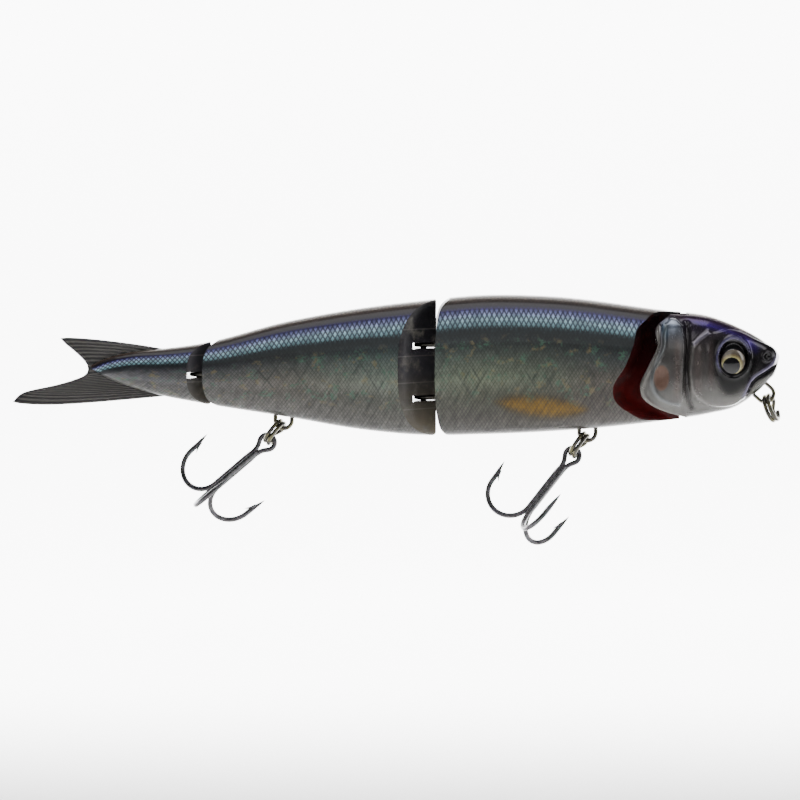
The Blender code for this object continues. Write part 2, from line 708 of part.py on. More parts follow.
def build_hinges():
    for name, hinge in (("head", HEAD_HINGE), ("mid", MID_HINGE), ("tail", TAIL_HINGE)):
        low, high = pin_ends(hinge)
        origin = (hinge["x"], 0.0, 0.5 * (low + high))
        mesh_object(f"{name}_hinge_pin", *rod((hinge["x"], 0, low), (hinge["x"], 0, high), HINGE_PIN_RADIUS),
                    finish="steel", origin=origin)
        for number, z in enumerate(hinge["eyes"]):
            label = ("lower", "upper")[number] if len(hinge["eyes"]) > 1 else "middle"
            mesh_object(f"{name}_hinge_eye_{label}", *tube(hinge_staple(hinge, z), 0.5 * WIRE), finish="steel")


def build_ballast():
    mesh_object("head_ballast_ball", *ball(HEAD_BALL, HEAD_BALL_RADIUS), finish="lead")
    for name, place, radius, length in (("front", FRONT_SLUG, FRONT_SLUG_RADIUS, FRONT_SLUG_LENGTH),
                                        ("rear", REAR_SLUG, REAR_SLUG_RADIUS, REAR_SLUG_LENGTH)):
        x, z = place
        mesh_object(f"{name}_ballast_slug", *rod((x - 0.5 * length, 0, z), (x + 0.5 * length, 0, z), radius),
                    finish="lead")


def build_ring(name, hole, hole_radius, slope, twist):
    """A split ring hanging in a wire loop. Gives back its centre and the way it hangs."""
    along = slope_vector(slope)
    centre = Vector(hole) + along * (RING_RADIUS + seat_gap(hole_radius))
    mesh_object(name, *tube(ring_route(centre, along, twist), 0.5 * RING_WIRE, sides=6), finish="steel",
                origin=hole)
    return centre, along


def build_hook(name, ring_centre, ring_along, slope, roll, lean):
    """A treble hook whose eye is on a split ring."""
    seat = RING_RADIUS + seat_gap(HOOK_EYE_RADIUS - 0.5 * HOOK_WIRE)
    eye = ring_centre + ring_along * seat
    level_down = slope_vector(slope)
    left = Vector((0.0, 1.0, 0.0))
    across = level_down.cross(left)
    down = level_down * math.cos(math.radians(lean)) + left * math.sin(math.radians(lean))
    beside = left * math.cos(math.radians(lean)) - level_down * math.sin(math.radians(lean))
    frame = Matrix((across, beside, down)).transposed()
    frame = Matrix.Rotation(math.radians(roll), 3, down) @ frame
    solids = list(treble_solids())
    placed = [([eye + frame @ Vector(point) for point in points], faces) for points, faces in solids]
    hook = mesh_object(name, *placed[0], finish="black_nickel", origin=ring_centre)
    for number, (points, faces) in enumerate(placed[1:]):
        boolean(hook, cutter(f"{name}_piece_{number}", points, faces), "UNION")


def build_fittings():
    mesh_object("line_tie", *tube(tie_staple(), 0.5 * TIE_WIRE), finish="steel")
    build_ring("nose_split_ring", (0.0, 0.0, 0.0), TIE_RADIUS - 0.5 * TIE_WIRE, NOSE_RING_SLOPE,
               NOSE_RING_TWIST)
    for name, hanger, ring_slope, twist, hook_slope, roll, lean in (
            ("front", FRONT_HANGER, FRONT_RING_SLOPE, FRONT_RING_TWIST,
             FRONT_HOOK_SLOPE, FRONT_HOOK_ROLL, FRONT_HOOK_LEAN),
            ("rear", REAR_HANGER, REAR_RING_SLOPE, REAR_RING_TWIST,
             REAR_HOOK_SLOPE, REAR_HOOK_ROLL, REAR_HOOK_LEAN)):
        mesh_object(f"{name}_hook_hanger", *tube(hanger_staple(hanger), 0.5 * WIRE), finish="steel")
        centre, along = build_ring(f"{name}_split_ring", (hanger[0], 0.0, hanger[1]),
                                   LOOP_RADIUS - 0.5 * WIRE, ring_slope, twist)
        build_hook(f"{name}_treble_hook", centre, along, hook_slope, roll, lean)


def main():
    for old in list(bpy.data.objects):
        bpy.data.objects.remove(old, do_unlink=True)
    build_head()
    build_front()
    build_rear()
    build_tail()
    build_fin()
    build_eyes()
    build_hinges()
    build_ballast()
    build_fittings()
    for piece in bpy.data.objects:
        if not piece.hide_render:
            piece.data.set_sharp_from_angle(angle=math.radians(35.0))


main()
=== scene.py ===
# %% [markdown]
# # A jointed fish lure, built round its working frame
# The lure is four hollow fish pieces that swing on vertical pins, with a soft forked tail and
# two treble hooks. The frame gives the true sizes and the joints. This lesson makes the looks:
# a finely carved head, painted scales, clear coat, and wire that is really round. The halves
# are solid here, as the hollows and pegs inside them are the frame's business.
# Everything is worked in millimetres and turned into metres where a mesh is made.

# %% Open the frame
import math

import bmesh
import bpy
import numpy as np
from mathutils import Matrix, Vector


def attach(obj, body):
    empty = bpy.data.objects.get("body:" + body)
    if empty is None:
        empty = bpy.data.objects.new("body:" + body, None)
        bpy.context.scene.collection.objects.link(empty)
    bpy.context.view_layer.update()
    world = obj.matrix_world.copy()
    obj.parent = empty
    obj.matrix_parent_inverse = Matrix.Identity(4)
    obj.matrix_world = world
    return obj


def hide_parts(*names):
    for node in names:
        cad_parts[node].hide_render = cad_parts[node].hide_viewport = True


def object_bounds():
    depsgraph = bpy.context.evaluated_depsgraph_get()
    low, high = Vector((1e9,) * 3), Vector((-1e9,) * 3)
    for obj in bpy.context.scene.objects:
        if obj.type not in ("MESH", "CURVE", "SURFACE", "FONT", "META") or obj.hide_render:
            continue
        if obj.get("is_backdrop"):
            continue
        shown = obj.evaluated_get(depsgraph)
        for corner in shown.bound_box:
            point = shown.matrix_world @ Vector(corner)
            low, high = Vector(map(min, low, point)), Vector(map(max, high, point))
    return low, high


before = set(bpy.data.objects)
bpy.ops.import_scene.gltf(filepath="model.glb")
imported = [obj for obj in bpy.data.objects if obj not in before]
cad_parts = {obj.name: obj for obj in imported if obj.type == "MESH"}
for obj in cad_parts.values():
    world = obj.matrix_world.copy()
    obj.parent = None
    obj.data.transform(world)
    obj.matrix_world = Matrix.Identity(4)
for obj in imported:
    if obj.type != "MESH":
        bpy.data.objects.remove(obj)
frame_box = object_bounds()
MM = 0.001
print("frame nodes:", len(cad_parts))

# %% [markdown]
# ## The fish outline
# A lure like this is carved first as a plain fish, and the joints are cut later. The outline
# could be drawn as a curve, but a short table of back, belly and width at chosen places is
# easier to adjust and gives the same smooth fish wherever it is read.

# %% Outline tables
NOSE_X, MID_Z = 3.3, 7.65
HEAD_AXIS, MID_AXIS, TAIL_AXIS, TAIL_TIP = -26.4, -89.3, -147.8, -175.7
BODY_LENGTH = NOSE_X - TAIL_TIP
DEPTH, WIDTH = 36.3, 21.0
FLANK_POWER = 2.7
OUTLINE = np.array([
    (0.000, 0.075, 0.040, 0.10), (0.004, 0.103, -0.034, 0.24), (0.016, 0.150, -0.115, 0.36),
    (0.034, 0.209, -0.205, 0.46), (0.060, 0.275, -0.295, 0.57), (0.100, 0.350, -0.350, 0.71),
    (0.166, 0.392, -0.400, 0.88), (0.330, 0.492, -0.478, 1.00), (0.435, 0.500, -0.500, 0.99),
    (0.518, 0.462, -0.505, 0.94), (0.610, 0.406, -0.464, 0.84), (0.715, 0.313, -0.376, 0.70),
    (0.845, 0.150, -0.272, 0.52), (0.895, 0.117, -0.225, 0.42), (0.945, 0.090, -0.158, 0.30),
    (0.980, 0.045, -0.090, 0.20), (1.000, 0.000, -0.030, 0.14)])
GILL = np.array([
    (-9.5, -6.2, 5.4), (-6.0, -6.0, 7.4), (-4.5, -0.8, 9.6), (-1.3, 5.6, 13.4), (2.4, 7.3, 14.2),
    (7.9, 5.2, 11.2), (13.0, 2.9, 9.2), (18.5, 2.6, 7.2), (21.0, -0.8, 4.2), (26.0, -1.4, 3.6)])


def smooth_read(table, place, column):
    """Reads one column of a table along a smooth curve, for a number or an array of places."""
    places, values = table[:, 0], table[:, column]
    place = np.clip(place, places[0], places[-1])
    index = np.clip(np.searchsorted(places, place, side="right") - 1, 0, len(places) - 2)
    slopes = np.gradient(values, places)
    span = places[index + 1] - places[index]
    t = (place - places[index]) / span
    return ((2 * t**3 - 3 * t**2 + 1) * values[index] + (t**3 - 2 * t**2 + t) * span * slopes[index]
            + (3 * t**2 - 2 * t**3) * values[index + 1] + (t**3 - t**2) * span * slopes[index + 1])


def body_section(x):
    """Back, belly and half width of the fish at a place along it."""
    place = (NOSE_X - x) / BODY_LENGTH
    back = MID_Z + DEPTH * smooth_read(OUTLINE, place, 1)
    belly = MID_Z + DEPTH * smooth_read(OUTLINE, place, 2)
    return back, belly, 0.5 * WIDTH * smooth_read(OUTLINE, place, 3)


def half_width(x, z):
    """Half width of the fish at a place and height."""
    back, belly, half = body_section(x)
    rise = np.clip(np.abs(z - 0.5 * (back + belly)) / (0.5 * (back - belly)), 0.0, 1.0)
    return half * (1.0 - rise**FLANK_POWER) ** (1.0 / FLANK_POWER)


print("body at the first hinge: back %.1f, belly %.1f, half width %.1f mm" % body_section(HEAD_AXIS))

# %% [markdown]
# ## Mesh makers
# Three shapes make nearly the whole lure: a loft through rings of points, a round wire along a
# route, and a flat plate. Blender's own curve bevel could make the wire, but points laid out
# here keep full control of tapers and closed loops.

# %% Lofts, plates and cutters
def new_piece(name, points, faces, finishes=()):
    """A mesh object from points in millimetres, with its faces turned outwards."""
    mesh = bpy.data.meshes.new(name)
    mesh.from_pydata((np.asarray(points, float) * MM).tolist(), [], faces)
    clean = bmesh.new()
    clean.from_mesh(mesh)
    bmesh.ops.recalc_face_normals(clean, faces=clean.faces)
    clean.to_mesh(mesh)
    clean.free()
    piece = bpy.data.objects.new(name, mesh)
    bpy.context.scene.collection.objects.link(piece)
    for finish in finishes:
        mesh.materials.append(finish)
    return piece


def loft_faces(rings, sides, closed=False):
    """Faces that join rings of the same number of points, with end caps unless they close."""
    faces = []
    for ring in range(rings if closed else rings - 1):
        following = (ring + 1) % rings
        for side in range(sides):
            beside = (side + 1) % sides
            faces.append((ring * sides + side, ring * sides + beside,
                          following * sides + beside, following * sides + side))
    if not closed:
        faces.append(tuple(range(sides)))
        faces.append(tuple((rings - 1) * sides + side for side in range(sides)))
    return faces


def box_solid(low, high):
    points = [(x, y, z) for x in (low[0], high[0])
              for y, z in ((low[1], low[2]), (high[1], low[2]), (high[1], high[2]), (low[1], high[2]))]
    return points, loft_faces(2, 4)


def carve(piece, tool, operation):
    """Cuts or joins a piece with a tool for good, and clears the tool away."""
    step = piece.modifiers.new("carve", "BOOLEAN")
    step.operation = operation
    step.solver = "EXACT"
    step.material_mode = "TRANSFER"
    step.object = tool
    bpy.context.view_layer.update()
    ready = piece.evaluated_get(bpy.context.evaluated_depsgraph_get())
    carved = bpy.data.meshes.new_from_object(ready)
    piece.modifiers.clear()
    old = piece.data
    piece.data = carved
    carved.name = piece.name
    bpy.data.meshes.remove(old)
    bpy.data.objects.remove(tool)


def soften(piece, angle=40.0):
    """Smooth shading, with an edge kept sharp where faces meet at more than the angle."""
    piece.data.shade_smooth()
    piece.data.set_sharp_from_angle(angle=math.radians(angle))
    return piece


# %% Round wire and bars
def wire(route, radius, sides=16, closed=False):
    """Points and faces of round wire along a route. The radius may be a list, one per point."""
    route = [Vector(point) for point in route]
    count = len(route)
    radii = radius if isinstance(radius, (list, np.ndarray)) else [radius] * count
    points, across = [], None
    for index, centre in enumerate(route):
        before = route[index - 1] if index > 0 or closed else centre
        after = route[(index + 1) % count] if index < count - 1 or closed else centre
        along = (after - before).normalized()
        if across is None:
            across = along.orthogonal().normalized()
        across = (across - along * across.dot(along)).normalized()
        up = along.cross(across)
        for side in range(sides):
            angle = math.tau * side / sides
            points.append(centre + radii[index] * (across * math.cos(angle) + up * math.sin(angle)))
    return points, loft_faces(count, sides, closed)


def rounded_wire(route, radius, sides=16):
    """Wire with its cut ends rounded off a little."""
    route = [Vector(point) for point in route]
    first = (route[1] - route[0]).normalized()
    last = (route[-1] - route[-2]).normalized()
    route = ([route[0] - first * 0.35 * radius, route[0] - first * 0.2 * radius, route[0]] + route[1:-1]
             + [route[-1], route[-1] + last * 0.2 * radius, route[-1] + last * 0.35 * radius])
    radii = [0.45 * radius, 0.8 * radius] + [radius] * (len(route) - 4) + [0.8 * radius, 0.45 * radius]
    return wire(route, radii, sides)


def round_bar(start, end, radius, sides=32, chamfer=0.12):
    """A round bar with small chamfers at its ends."""
    start, end = Vector(start), Vector(end)
    along = (end - start).normalized()
    route = [start, start + along * chamfer, end - along * chamfer, end]
    return wire(route, [radius - chamfer, radius, radius, radius - chamfer], sides)


def bend_smoothly(corners, step=0.25, rounds=3):
    """A route through corners, with its corners cut until it runs smoothly."""
    route = [Vector(corner) for corner in corners]
    for _ in range(rounds):
        cut = [route[0]]
        for one, two in zip(route, route[1:]):
            cut += [one.lerp(two, step), one.lerp(two, 1.0 - step)]
        route = cut + [route[-1]]
    return route


print("mesh makers ready")

# %% [markdown]
# ## Node helpers for the finishes
# Every finish below is a small node tree. Long chains of sums are easier to read as nested
# calls, so each helper adds one node and hands back its output.

# %% Node helpers
def new_finish(name, colour=(0.5, 0.5, 0.5), roughness=0.4, metallic=0.0, coat=0.0, coat_roughness=0.04):
    made = bpy.data.materials.new(name)
    made.use_nodes = True
    shader = made.node_tree.nodes["Principled BSDF"]
    shader.inputs["Base Color"].default_value = (*colour, 1.0)
    shader.inputs["Roughness"].default_value = roughness
    shader.inputs["Metallic"].default_value = metallic
    shader.inputs["Coat Weight"].default_value = coat
    shader.inputs["Coat Roughness"].default_value = coat_roughness
    return made


def node(made, kind, *inputs, **settings):
    new = made.node_tree.nodes.new(kind)
    for key, value in settings.items():
        setattr(new, key, value)
    for index, value in enumerate(inputs):
        if isinstance(value, bpy.types.NodeSocket):
            made.node_tree.links.new(value, new.inputs[index])
        elif value is not None:
            new.inputs[index].default_value = value
    return new


def maths(made, operation, *values, clamp=False):
    return node(made, "ShaderNodeMath", *values, operation=operation, use_clamp=clamp).outputs[0]


def fade(made, value, low, high):
    """0 below low, 1 above high, smooth between. Low above high turns it round."""
    new = node(made, "ShaderNodeMapRange", value, low, high, 0.0, 1.0, interpolation_type="SMOOTHSTEP")
    return new.outputs[0]


def mixed(made, factor, one, two, mode="MIX"):
    new = made.node_tree.nodes.new("ShaderNodeMix")
    new.data_type = "RGBA"
    new.blend_type = mode
    for index, value in ((0, factor), (6, one), (7, two)):
        if isinstance(value, bpy.types.NodeSocket):
            made.node_tree.links.new(value, new.inputs[index])
        else:
            new.inputs[index].default_value = value
    return new.outputs[2]


def measure(made, name):
    """A number that the mesh carries at each point."""
    return node(made, "ShaderNodeAttribute", attribute_name=name).outputs["Fac"]


def painted(made, name):
    return node(made, "ShaderNodeAttribute", attribute_name=name).outputs["Color"]


def grain(made, *place, scale=1.0, detail=2.0, roughness=0.5):
    """Soft noise, 0 to 1, at a place given by up to three numbers."""
    where = node(made, "ShaderNodeCombineXYZ", *place).outputs[0]
    return node(made, "ShaderNodeTexNoise", where, None, scale, detail, roughness).outputs[0]


def shade(made, socket, value):
    made.node_tree.links.new(value, made.node_tree.nodes["Principled BSDF"].inputs[socket])


def relief(made, height, distance, strength=1.0):
    new = made.node_tree.nodes.new("ShaderNodeBump")
    new.inputs["Strength"].default_value = strength
    new.inputs["Distance"].default_value = distance
    made.node_tree.links.new(height, new.inputs["Height"])
    shade(made, "Normal", new.outputs[0])


def hue(code):
    """A colour written as six hex digits, in the linear values that the shaders use."""
    parts = [int(code[start:start + 2], 16) / 255.0 for start in (0, 2, 4)]
    return tuple(((part + 0.055) / 1.055) ** 2.4 if part > 0.04045 else part / 12.92 for part in parts)


print("finish helpers ready")

# %% [markdown]
# ## Skins
# The painted skin of each half shell is a fine net of points over the fish. Sculpting by hand
# would look freer, but a net that is pushed in and out by simple lines and plates can be
# changed at any time, and the two flanks come out as true mirror images.

# %% A half skin over the fish
def even_around(back, belly, half, count):
    """Points round one flank at even steps, with the way the surface faces at each."""
    angle = np.linspace(0.5 * np.pi, -0.5 * np.pi, 721)
    y = half * np.maximum(np.cos(angle), 0.0) ** (2.0 / FLANK_POWER)
    rise = 0.5 * (back - belly)
    z = rise * np.abs(np.sin(angle)) ** (2.0 / FLANK_POWER) * np.sign(angle)
    run = np.concatenate([[0.0], np.cumsum(np.hypot(np.diff(y), np.diff(z)))])
    even = np.linspace(0.0, run[-1], count)
    y, z = np.interp(even, run, y), np.interp(even, run, z)
    out_y = (y / half) ** (FLANK_POWER - 1.0) / half
    out_z = np.sign(z) * np.abs(z / rise) ** (FLANK_POWER - 1.0) / rise
    size = np.hypot(out_y, out_z)
    return y, z + 0.5 * (back + belly), out_y / size, out_z / size


def half_skin(name, side, places, around, push, finish):
    """One side of the fish as a closed solid, pushed out by push(x, z) along its surface."""
    points = []
    for x in places:
        back, belly, half = body_section(x)
        y, z, out_y, out_z = even_around(back, belly, half, around)
        lift = push(np.full(around, x), z) * np.clip(y / 1.2, 0.0, 1.0)
        y, z = y + lift * out_y, z + lift * out_z
        points.extend((x, side * max(across, 0.01), high) for across, high in zip(y, z))
    return new_piece(name, points, loft_faces(len(places), around), finish)


def flat_push(x, z):
    return np.zeros_like(z)


def to_line(x, z, corners):
    """Distance from many points to a line through corners, in side view."""
    best = np.full(np.shape(x), 1e9)
    corners = np.array(corners, float)
    for one, two in zip(corners, corners[1:]):
        way = two - one
        t = np.clip(((x - one[0]) * way[0] + (z - one[1]) * way[1]) / (way @ way), 0.0, 1.0)
        best = np.minimum(best, np.hypot(x - one[0] - t * way[0], z - one[1] - t * way[1]))
    return best


def inside_of(x, z, corners):
    """Distance inside a closed outline in side view, negative outside it."""
    corners = [tuple(corner) for corner in corners]
    inside = np.zeros(np.shape(x), bool)
    for (x1, z1), (x2, z2) in zip(corners, corners[1:] + corners[:1]):
        crosses = (z1 > z) != (z2 > z)
        inside ^= crosses & (x < x1 + (z - z1) / (z2 - z1 + 1e-12) * (x2 - x1))
    away = to_line(x, z, corners + corners[:1])
    return np.where(inside, away, -away)


def step_up(value, low, high):
    t = np.clip((value - low) / (high - low), 0.0, 1.0)
    return t * t * (3.0 - 2.0 * t)


def ridge(x, z, corners, wide):
    return np.exp(-(to_line(x, z, corners) / wide) ** 2)


def curve_through(corners, rounds=3):
    """Corners rounded off into a smooth line, as plain pairs."""
    return [(point.x, point.y) for point in bend_smoothly([(u, v, 0.0) for u, v in corners], 0.25, rounds)]


# %% [markdown]
# ## Joint shapes in plan
# Each rear piece ends forward in a wedge, and the piece ahead has a notch that the wedge
# swings in. Seen from above both are straight-sided, so each piece is cut out of the fish with
# a tall block whose plan may change with height. That is how the gill rim gets its curve.

# %% Wedges and notches
HEAD_HINGE = {"x": HEAD_AXIS, "eyes": (1.0, 14.0), "nose": (3.8, 1.9), "notch": (5.8, 3.6)}
MID_HINGE = {"x": MID_AXIS, "eyes": (-0.8, 12.9), "nose": (3.3, 2.0), "notch": (7.0, 0.6)}
TAIL_HINGE = {"x": TAIL_AXIS, "eyes": (5.2,), "nose": (3.1, 1.1), "notch": (5.8, 0.6)}
REACH = {id(MID_HINGE): (6.7, -2.8), id(TAIL_HINGE): (2.9, -1.2)}
GILL_COVER = 1.3
FAR_OUT = 21.0


def rounded_end(z, low, high, low_radius, high_radius):
    """How far an edge draws back near its two ends, so that its corners come out round."""
    back = 0.0
    for gap, radius in ((z - low, low_radius), (high - z, high_radius)):
        if gap < radius:
            back = max(back, radius - math.sqrt(max(radius**2 - (radius - max(gap, 0.0)) ** 2, 0.0)))
    return back


def wedge_half(hinge, z):
    """The wedge of a rear piece in plan, from its nose outwards."""
    nose_reach, nose_half = hinge["nose"]
    if hinge is HEAD_HINGE:
        rim, shoulder = smooth_read(GILL, z, 1), smooth_read(GILL, z, 2)
        corner = rim + 0.4 * (shoulder - rim)
        corner_half = nose_half + 0.16 * (nose_reach + corner)
        surface = max(half_width(hinge["x"] - shoulder, z), corner_half + 1.0)
        slope = (surface - corner_half) / (shoulder - corner)
        slope = max(slope, 0.7 * float(step_up(-z, 4.5, 7.5)), 0.9 * float(step_up(z, 17.0, 21.5)))
    else:
        shoulder = REACH[id(hinge)][0]
        surface = body_section(hinge["x"] - shoulder)[2]
        slope = (surface - nose_half) / (nose_reach + shoulder)
        corner = 0.4 * shoulder
        corner_half = nose_half + slope * (nose_reach + corner)
    back, belly, _ = body_section(hinge["x"] + nose_reach)
    drawn = rounded_end(z, belly, back, 1.1, 0.3) if hinge is not HEAD_HINGE else 0.0
    far = corner + (FAR_OUT - corner_half) / slope
    x = hinge["x"]
    nose = np.array([x + nose_reach - drawn, nose_half])
    turn = np.array([x - corner, corner_half])
    end = np.array([x - far, FAR_OUT])
    into = turn + 0.35 * (nose - turn)
    out_of = turn + (end - turn) * min(2.2 / np.hypot(*(end - turn)), 0.5)
    bend = [into * (1 - t) ** 2 + 2 * turn * t * (1 - t) + out_of * t * t
            for t in (0.0, 0.25, 0.5, 0.75, 1.0)]
    return [tuple(point) for point in [nose] + bend + [end]]


def notch_half(hinge, z):
    """The notch of the piece ahead in plan, from its middle outwards."""
    depth, floor_half = hinge["notch"]
    x = hinge["x"]
    if hinge is HEAD_HINGE:
        rim = max(float(smooth_read(GILL, z, 1)), -depth + 0.4)
        inner = max(float(half_width(x - rim, z)) - GILL_COVER, floor_half + 0.15 * (depth + rim))
        return [(x + depth, floor_half), (x - rim, inner), (x - rim - 0.05, FAR_OUT)]
    rim = REACH[id(hinge)][1]
    slope = (body_section(x - rim)[2] - floor_half) / (depth + rim)
    corner = 0.5 * (rim - depth)
    corner_half = floor_half + slope * (depth + corner)
    far = corner + (FAR_OUT - corner_half) / slope
    back, belly, _ = body_section(x - rim)
    drawn = rounded_end(z, belly, back, *((2.5, 3.0) if hinge is MID_HINGE else (1.2, 1.4)))
    return [(x + depth, floor_half), (x - corner + 0.5 * drawn, corner_half), (x - far + drawn, FAR_OUT)]


def plan_block(name, front_half, rear_half, levels, front_finish, rear_finish):
    """A tall block between a front and a rear edge in plan, with a finish for each edge."""
    points = []
    for z in levels:
        front, rear = front_half(z), rear_half(z)
        outline = front + rear[::-1] + [(x, -y) for x, y in rear] + [(x, -y) for x, y in front[::-1]]
        points.extend((x, y, z) for x, y in outline)
    around = len(outline)
    in_front = set(range(len(front))) | set(range(around - len(front), around))
    block = new_piece(name, points, loft_faces(len(levels), around), (front_finish, rear_finish))
    for face in block.data.polygons:
        face.material_index = 0 if {corner % around for corner in face.vertices} <= in_front else 1
    return block


def hinge_slots(piece, hinge, height=1.6):
    """Slots in a wedge for the wire eyes of the piece ahead."""
    x, reach = hinge["x"], 2.8
    for z in hinge["eyes"]:
        low = (x - reach, -FAR_OUT, z - 0.5 * height)
        high = (x + hinge["nose"][0] + 2.0, FAR_OUT, z + 0.5 * height)
        carve(piece, new_piece("slot_tool", *box_solid(low, high), piece.data.materials[1:2]), "DIFFERENCE")


HEIGHTS = [-40.0] + [float(z) for z in np.arange(-14.0, 30.01, 0.4)] + [45.0]
print("wedges and notches drawn at", len(HEIGHTS), "heights")

# %% [markdown]
# ## The painter's bands
# A painter of such lures sprays the back first, then a violet line, a row of bright scales, a
# dark teal shoulder and a silver belly. The bands keep their distance from the back at the top
# and spread over what is left of the flank below. So each band is given by a place between
# back and belly, and the colours are mixed between bands and stored on the mesh.

# %% Bands of the flank
TOP_BANDS = [
    (0.0, "8f7a66"), (0.9, "5a4336"), (1.7, "2b1b20"), (2.6, "1f1533"), (3.3, "3d3382"), (4.3, "b9c4f6"),
    (5.6, "c4ecfb"), (6.9, "93c0cb"), (8.0, "26383e"), (9.2, "1f292c"), (10.0, "222b2e")]
LOW_BANDS = {
    -45.0: [
        (0.0, "30393b"), (0.20, "4c5150"), (0.45, "6a655e"),
        (0.65, "736b63"), (0.85, "7d7670"), (1.0, "8d8a86")],
    -60.0: [
        (0.0, "30393b"), (0.20, "50564f"), (0.42, "71796a"),
        (0.62, "6c6c5a"), (0.82, "6e685c"), (1.0, "878480")],
    -75.0: [
        (0.0, "353f42"), (0.20, "5c635b"), (0.42, "7e8672"),
        (0.62, "757766"), (0.82, "706c64"), (1.0, "858380")],
    -100.0: [
        (0.0, "415054"), (0.20, "646f69"), (0.42, "868e82"),
        (0.62, "84867b"), (0.82, "83817a"), (1.0, "8f8e8a")],
    -125.0: [
        (0.0, "454c4e"), (0.20, "5d5f5c"), (0.42, "7a766f"),
        (0.62, "88847c"), (0.82, "908d88"), (1.0, "959390")],
    -160.0: [
        (0.0, "5c5a66"), (0.20, "656568"), (0.42, "76767a"),
        (0.62, "8e8c8c"), (0.82, "a2a09d"), (1.0, "b2b0ac")]}
LEAF = [(-71.5, -1.2), (-68.0, 0.6), (-62.0, 0.9), (-55.0, 0.2), (-49.0, -1.6), (-46.0, -3.4),
        (-49.5, -5.2), (-55.0, -6.0), (-62.0, -5.4), (-68.0, -3.6)]


PAINT_STRENGTH = 0.5


def read_bands(bands, place):
    at = np.array([stop for stop, _ in bands])
    colours = np.array([hue(code) for _, code in bands])
    return np.stack([np.interp(place, at, colours[:, part]) for part in range(3)], axis=-1)


def squeeze(x):
    """The top bands draw together towards the tail."""
    return np.interp(x, (-176.0, -150.0, -128.0, -100.0, 0.0), (0.34, 0.55, 0.78, 1.0, 1.0))


def flank_colours(x, z):
    back, belly, _ = body_section(x)
    depth = (back - z) / squeeze(x)
    total = (back - belly) / squeeze(x)
    share = np.clip((depth - 10.0) / np.maximum(total - 10.0, 1.0), 0.0, 1.0)
    places = sorted(LOW_BANDS)
    columns = [read_bands(LOW_BANDS[place], share) for place in places]
    low = np.stack([np.array([np.interp(x_one, places, [column[index, part] for column in columns])
                              for index, x_one in enumerate(x)]) for part in range(3)], axis=-1)
    top = read_bands(TOP_BANDS, np.clip(depth, 0.0, 10.0))
    below = step_up(depth, 8.5, 11.5)[:, None]
    shadow = 1.0 - 0.20 * step_up(share, 0.40, 0.75)[:, None]
    lift = 1.0 + 0.75 * (step_up(share, 0.04, 0.18) * step_up(-share, -0.62, -0.42))[:, None]
    colours = top * (1.0 - below) + low * below * shadow * lift
    leaf = step_up(inside_of(x, z, curve_through(LEAF)), -0.9, 1.3)[:, None]
    leaf_core = step_up(inside_of(x, z, curve_through(LEAF)), 0.0, 2.6)[:, None]
    leaf_colour = np.array(hue("6e5a2c")) * (1.0 - leaf_core) + np.array(hue("a07808")) * leaf_core
    return PAINT_STRENGTH * (colours * (1.0 - leaf) + leaf_colour * leaf)


def store(piece, name, values, kind="FLOAT"):
    layer = piece.data.attributes.new(name, kind, "POINT")
    layer.data.foreach_set("value" if kind == "FLOAT" else "color", np.asarray(values, np.float32).ravel())


def spots(piece):
    """The points of a piece in millimetres."""
    flat = np.empty(len(piece.data.vertices) * 3, np.float32)
    piece.data.vertices.foreach_get("co", flat)
    return flat.reshape(-1, 3).astype(float) / MM


def paint_fish(piece, colours_at):
    """Stores the painted colour, the place along the fish and the depth below the back."""
    points = spots(piece)
    x, z = points[:, 0], points[:, 2]
    back, belly, _ = body_section(x)
    colours = np.clip(colours_at(x, z), 0.0, 1.0)
    store(piece, "paint", np.column_stack([colours, np.ones(len(x))]), "FLOAT_COLOR")
    store(piece, "place", x)
    store(piece, "depth", (back - z) / squeeze(x))
    store(piece, "from_belly", z - belly)
    return piece


# %% [markdown]
# ## Scales
# The scales of the real lure are moulded, and the bright middles of the scales are partly their
# pattern and partly painted highlight for the shine of the foil. A grid turned on its corner gives
# diamond scales: two slanted counts are rounded down to name each scale, and what is left over says
# where in the scale a point lies. A random number for each scale makes the painted highlight of some
# scales brighter than others.

# %% Scale paint
def diamonds(made, place, depth, wide, tall):
    """Distance from the middle of a diamond scale (0) to its rim (1), and a random number for it."""
    along = maths(made, "DIVIDE", place, wide)
    down = maths(made, "DIVIDE", depth, tall)
    one, two = maths(made, "ADD", along, down), maths(made, "SUBTRACT", along, down)
    off_one = maths(made, "ABSOLUTE", maths(made, "SUBTRACT", maths(made, "FRACT", one), 0.5))
    off_two = maths(made, "ABSOLUTE", maths(made, "SUBTRACT", maths(made, "FRACT", two), 0.5))
    rim = maths(made, "MULTIPLY", maths(made, "MAXIMUM", off_one, off_two), 2.0)
    row, column = maths(made, "FLOOR", one), maths(made, "FLOOR", two)
    name = node(made, "ShaderNodeCombineXYZ", row, column).outputs[0]
    chance = node(made, "ShaderNodeTexWhiteNoise", name).outputs[0]
    return rim, chance


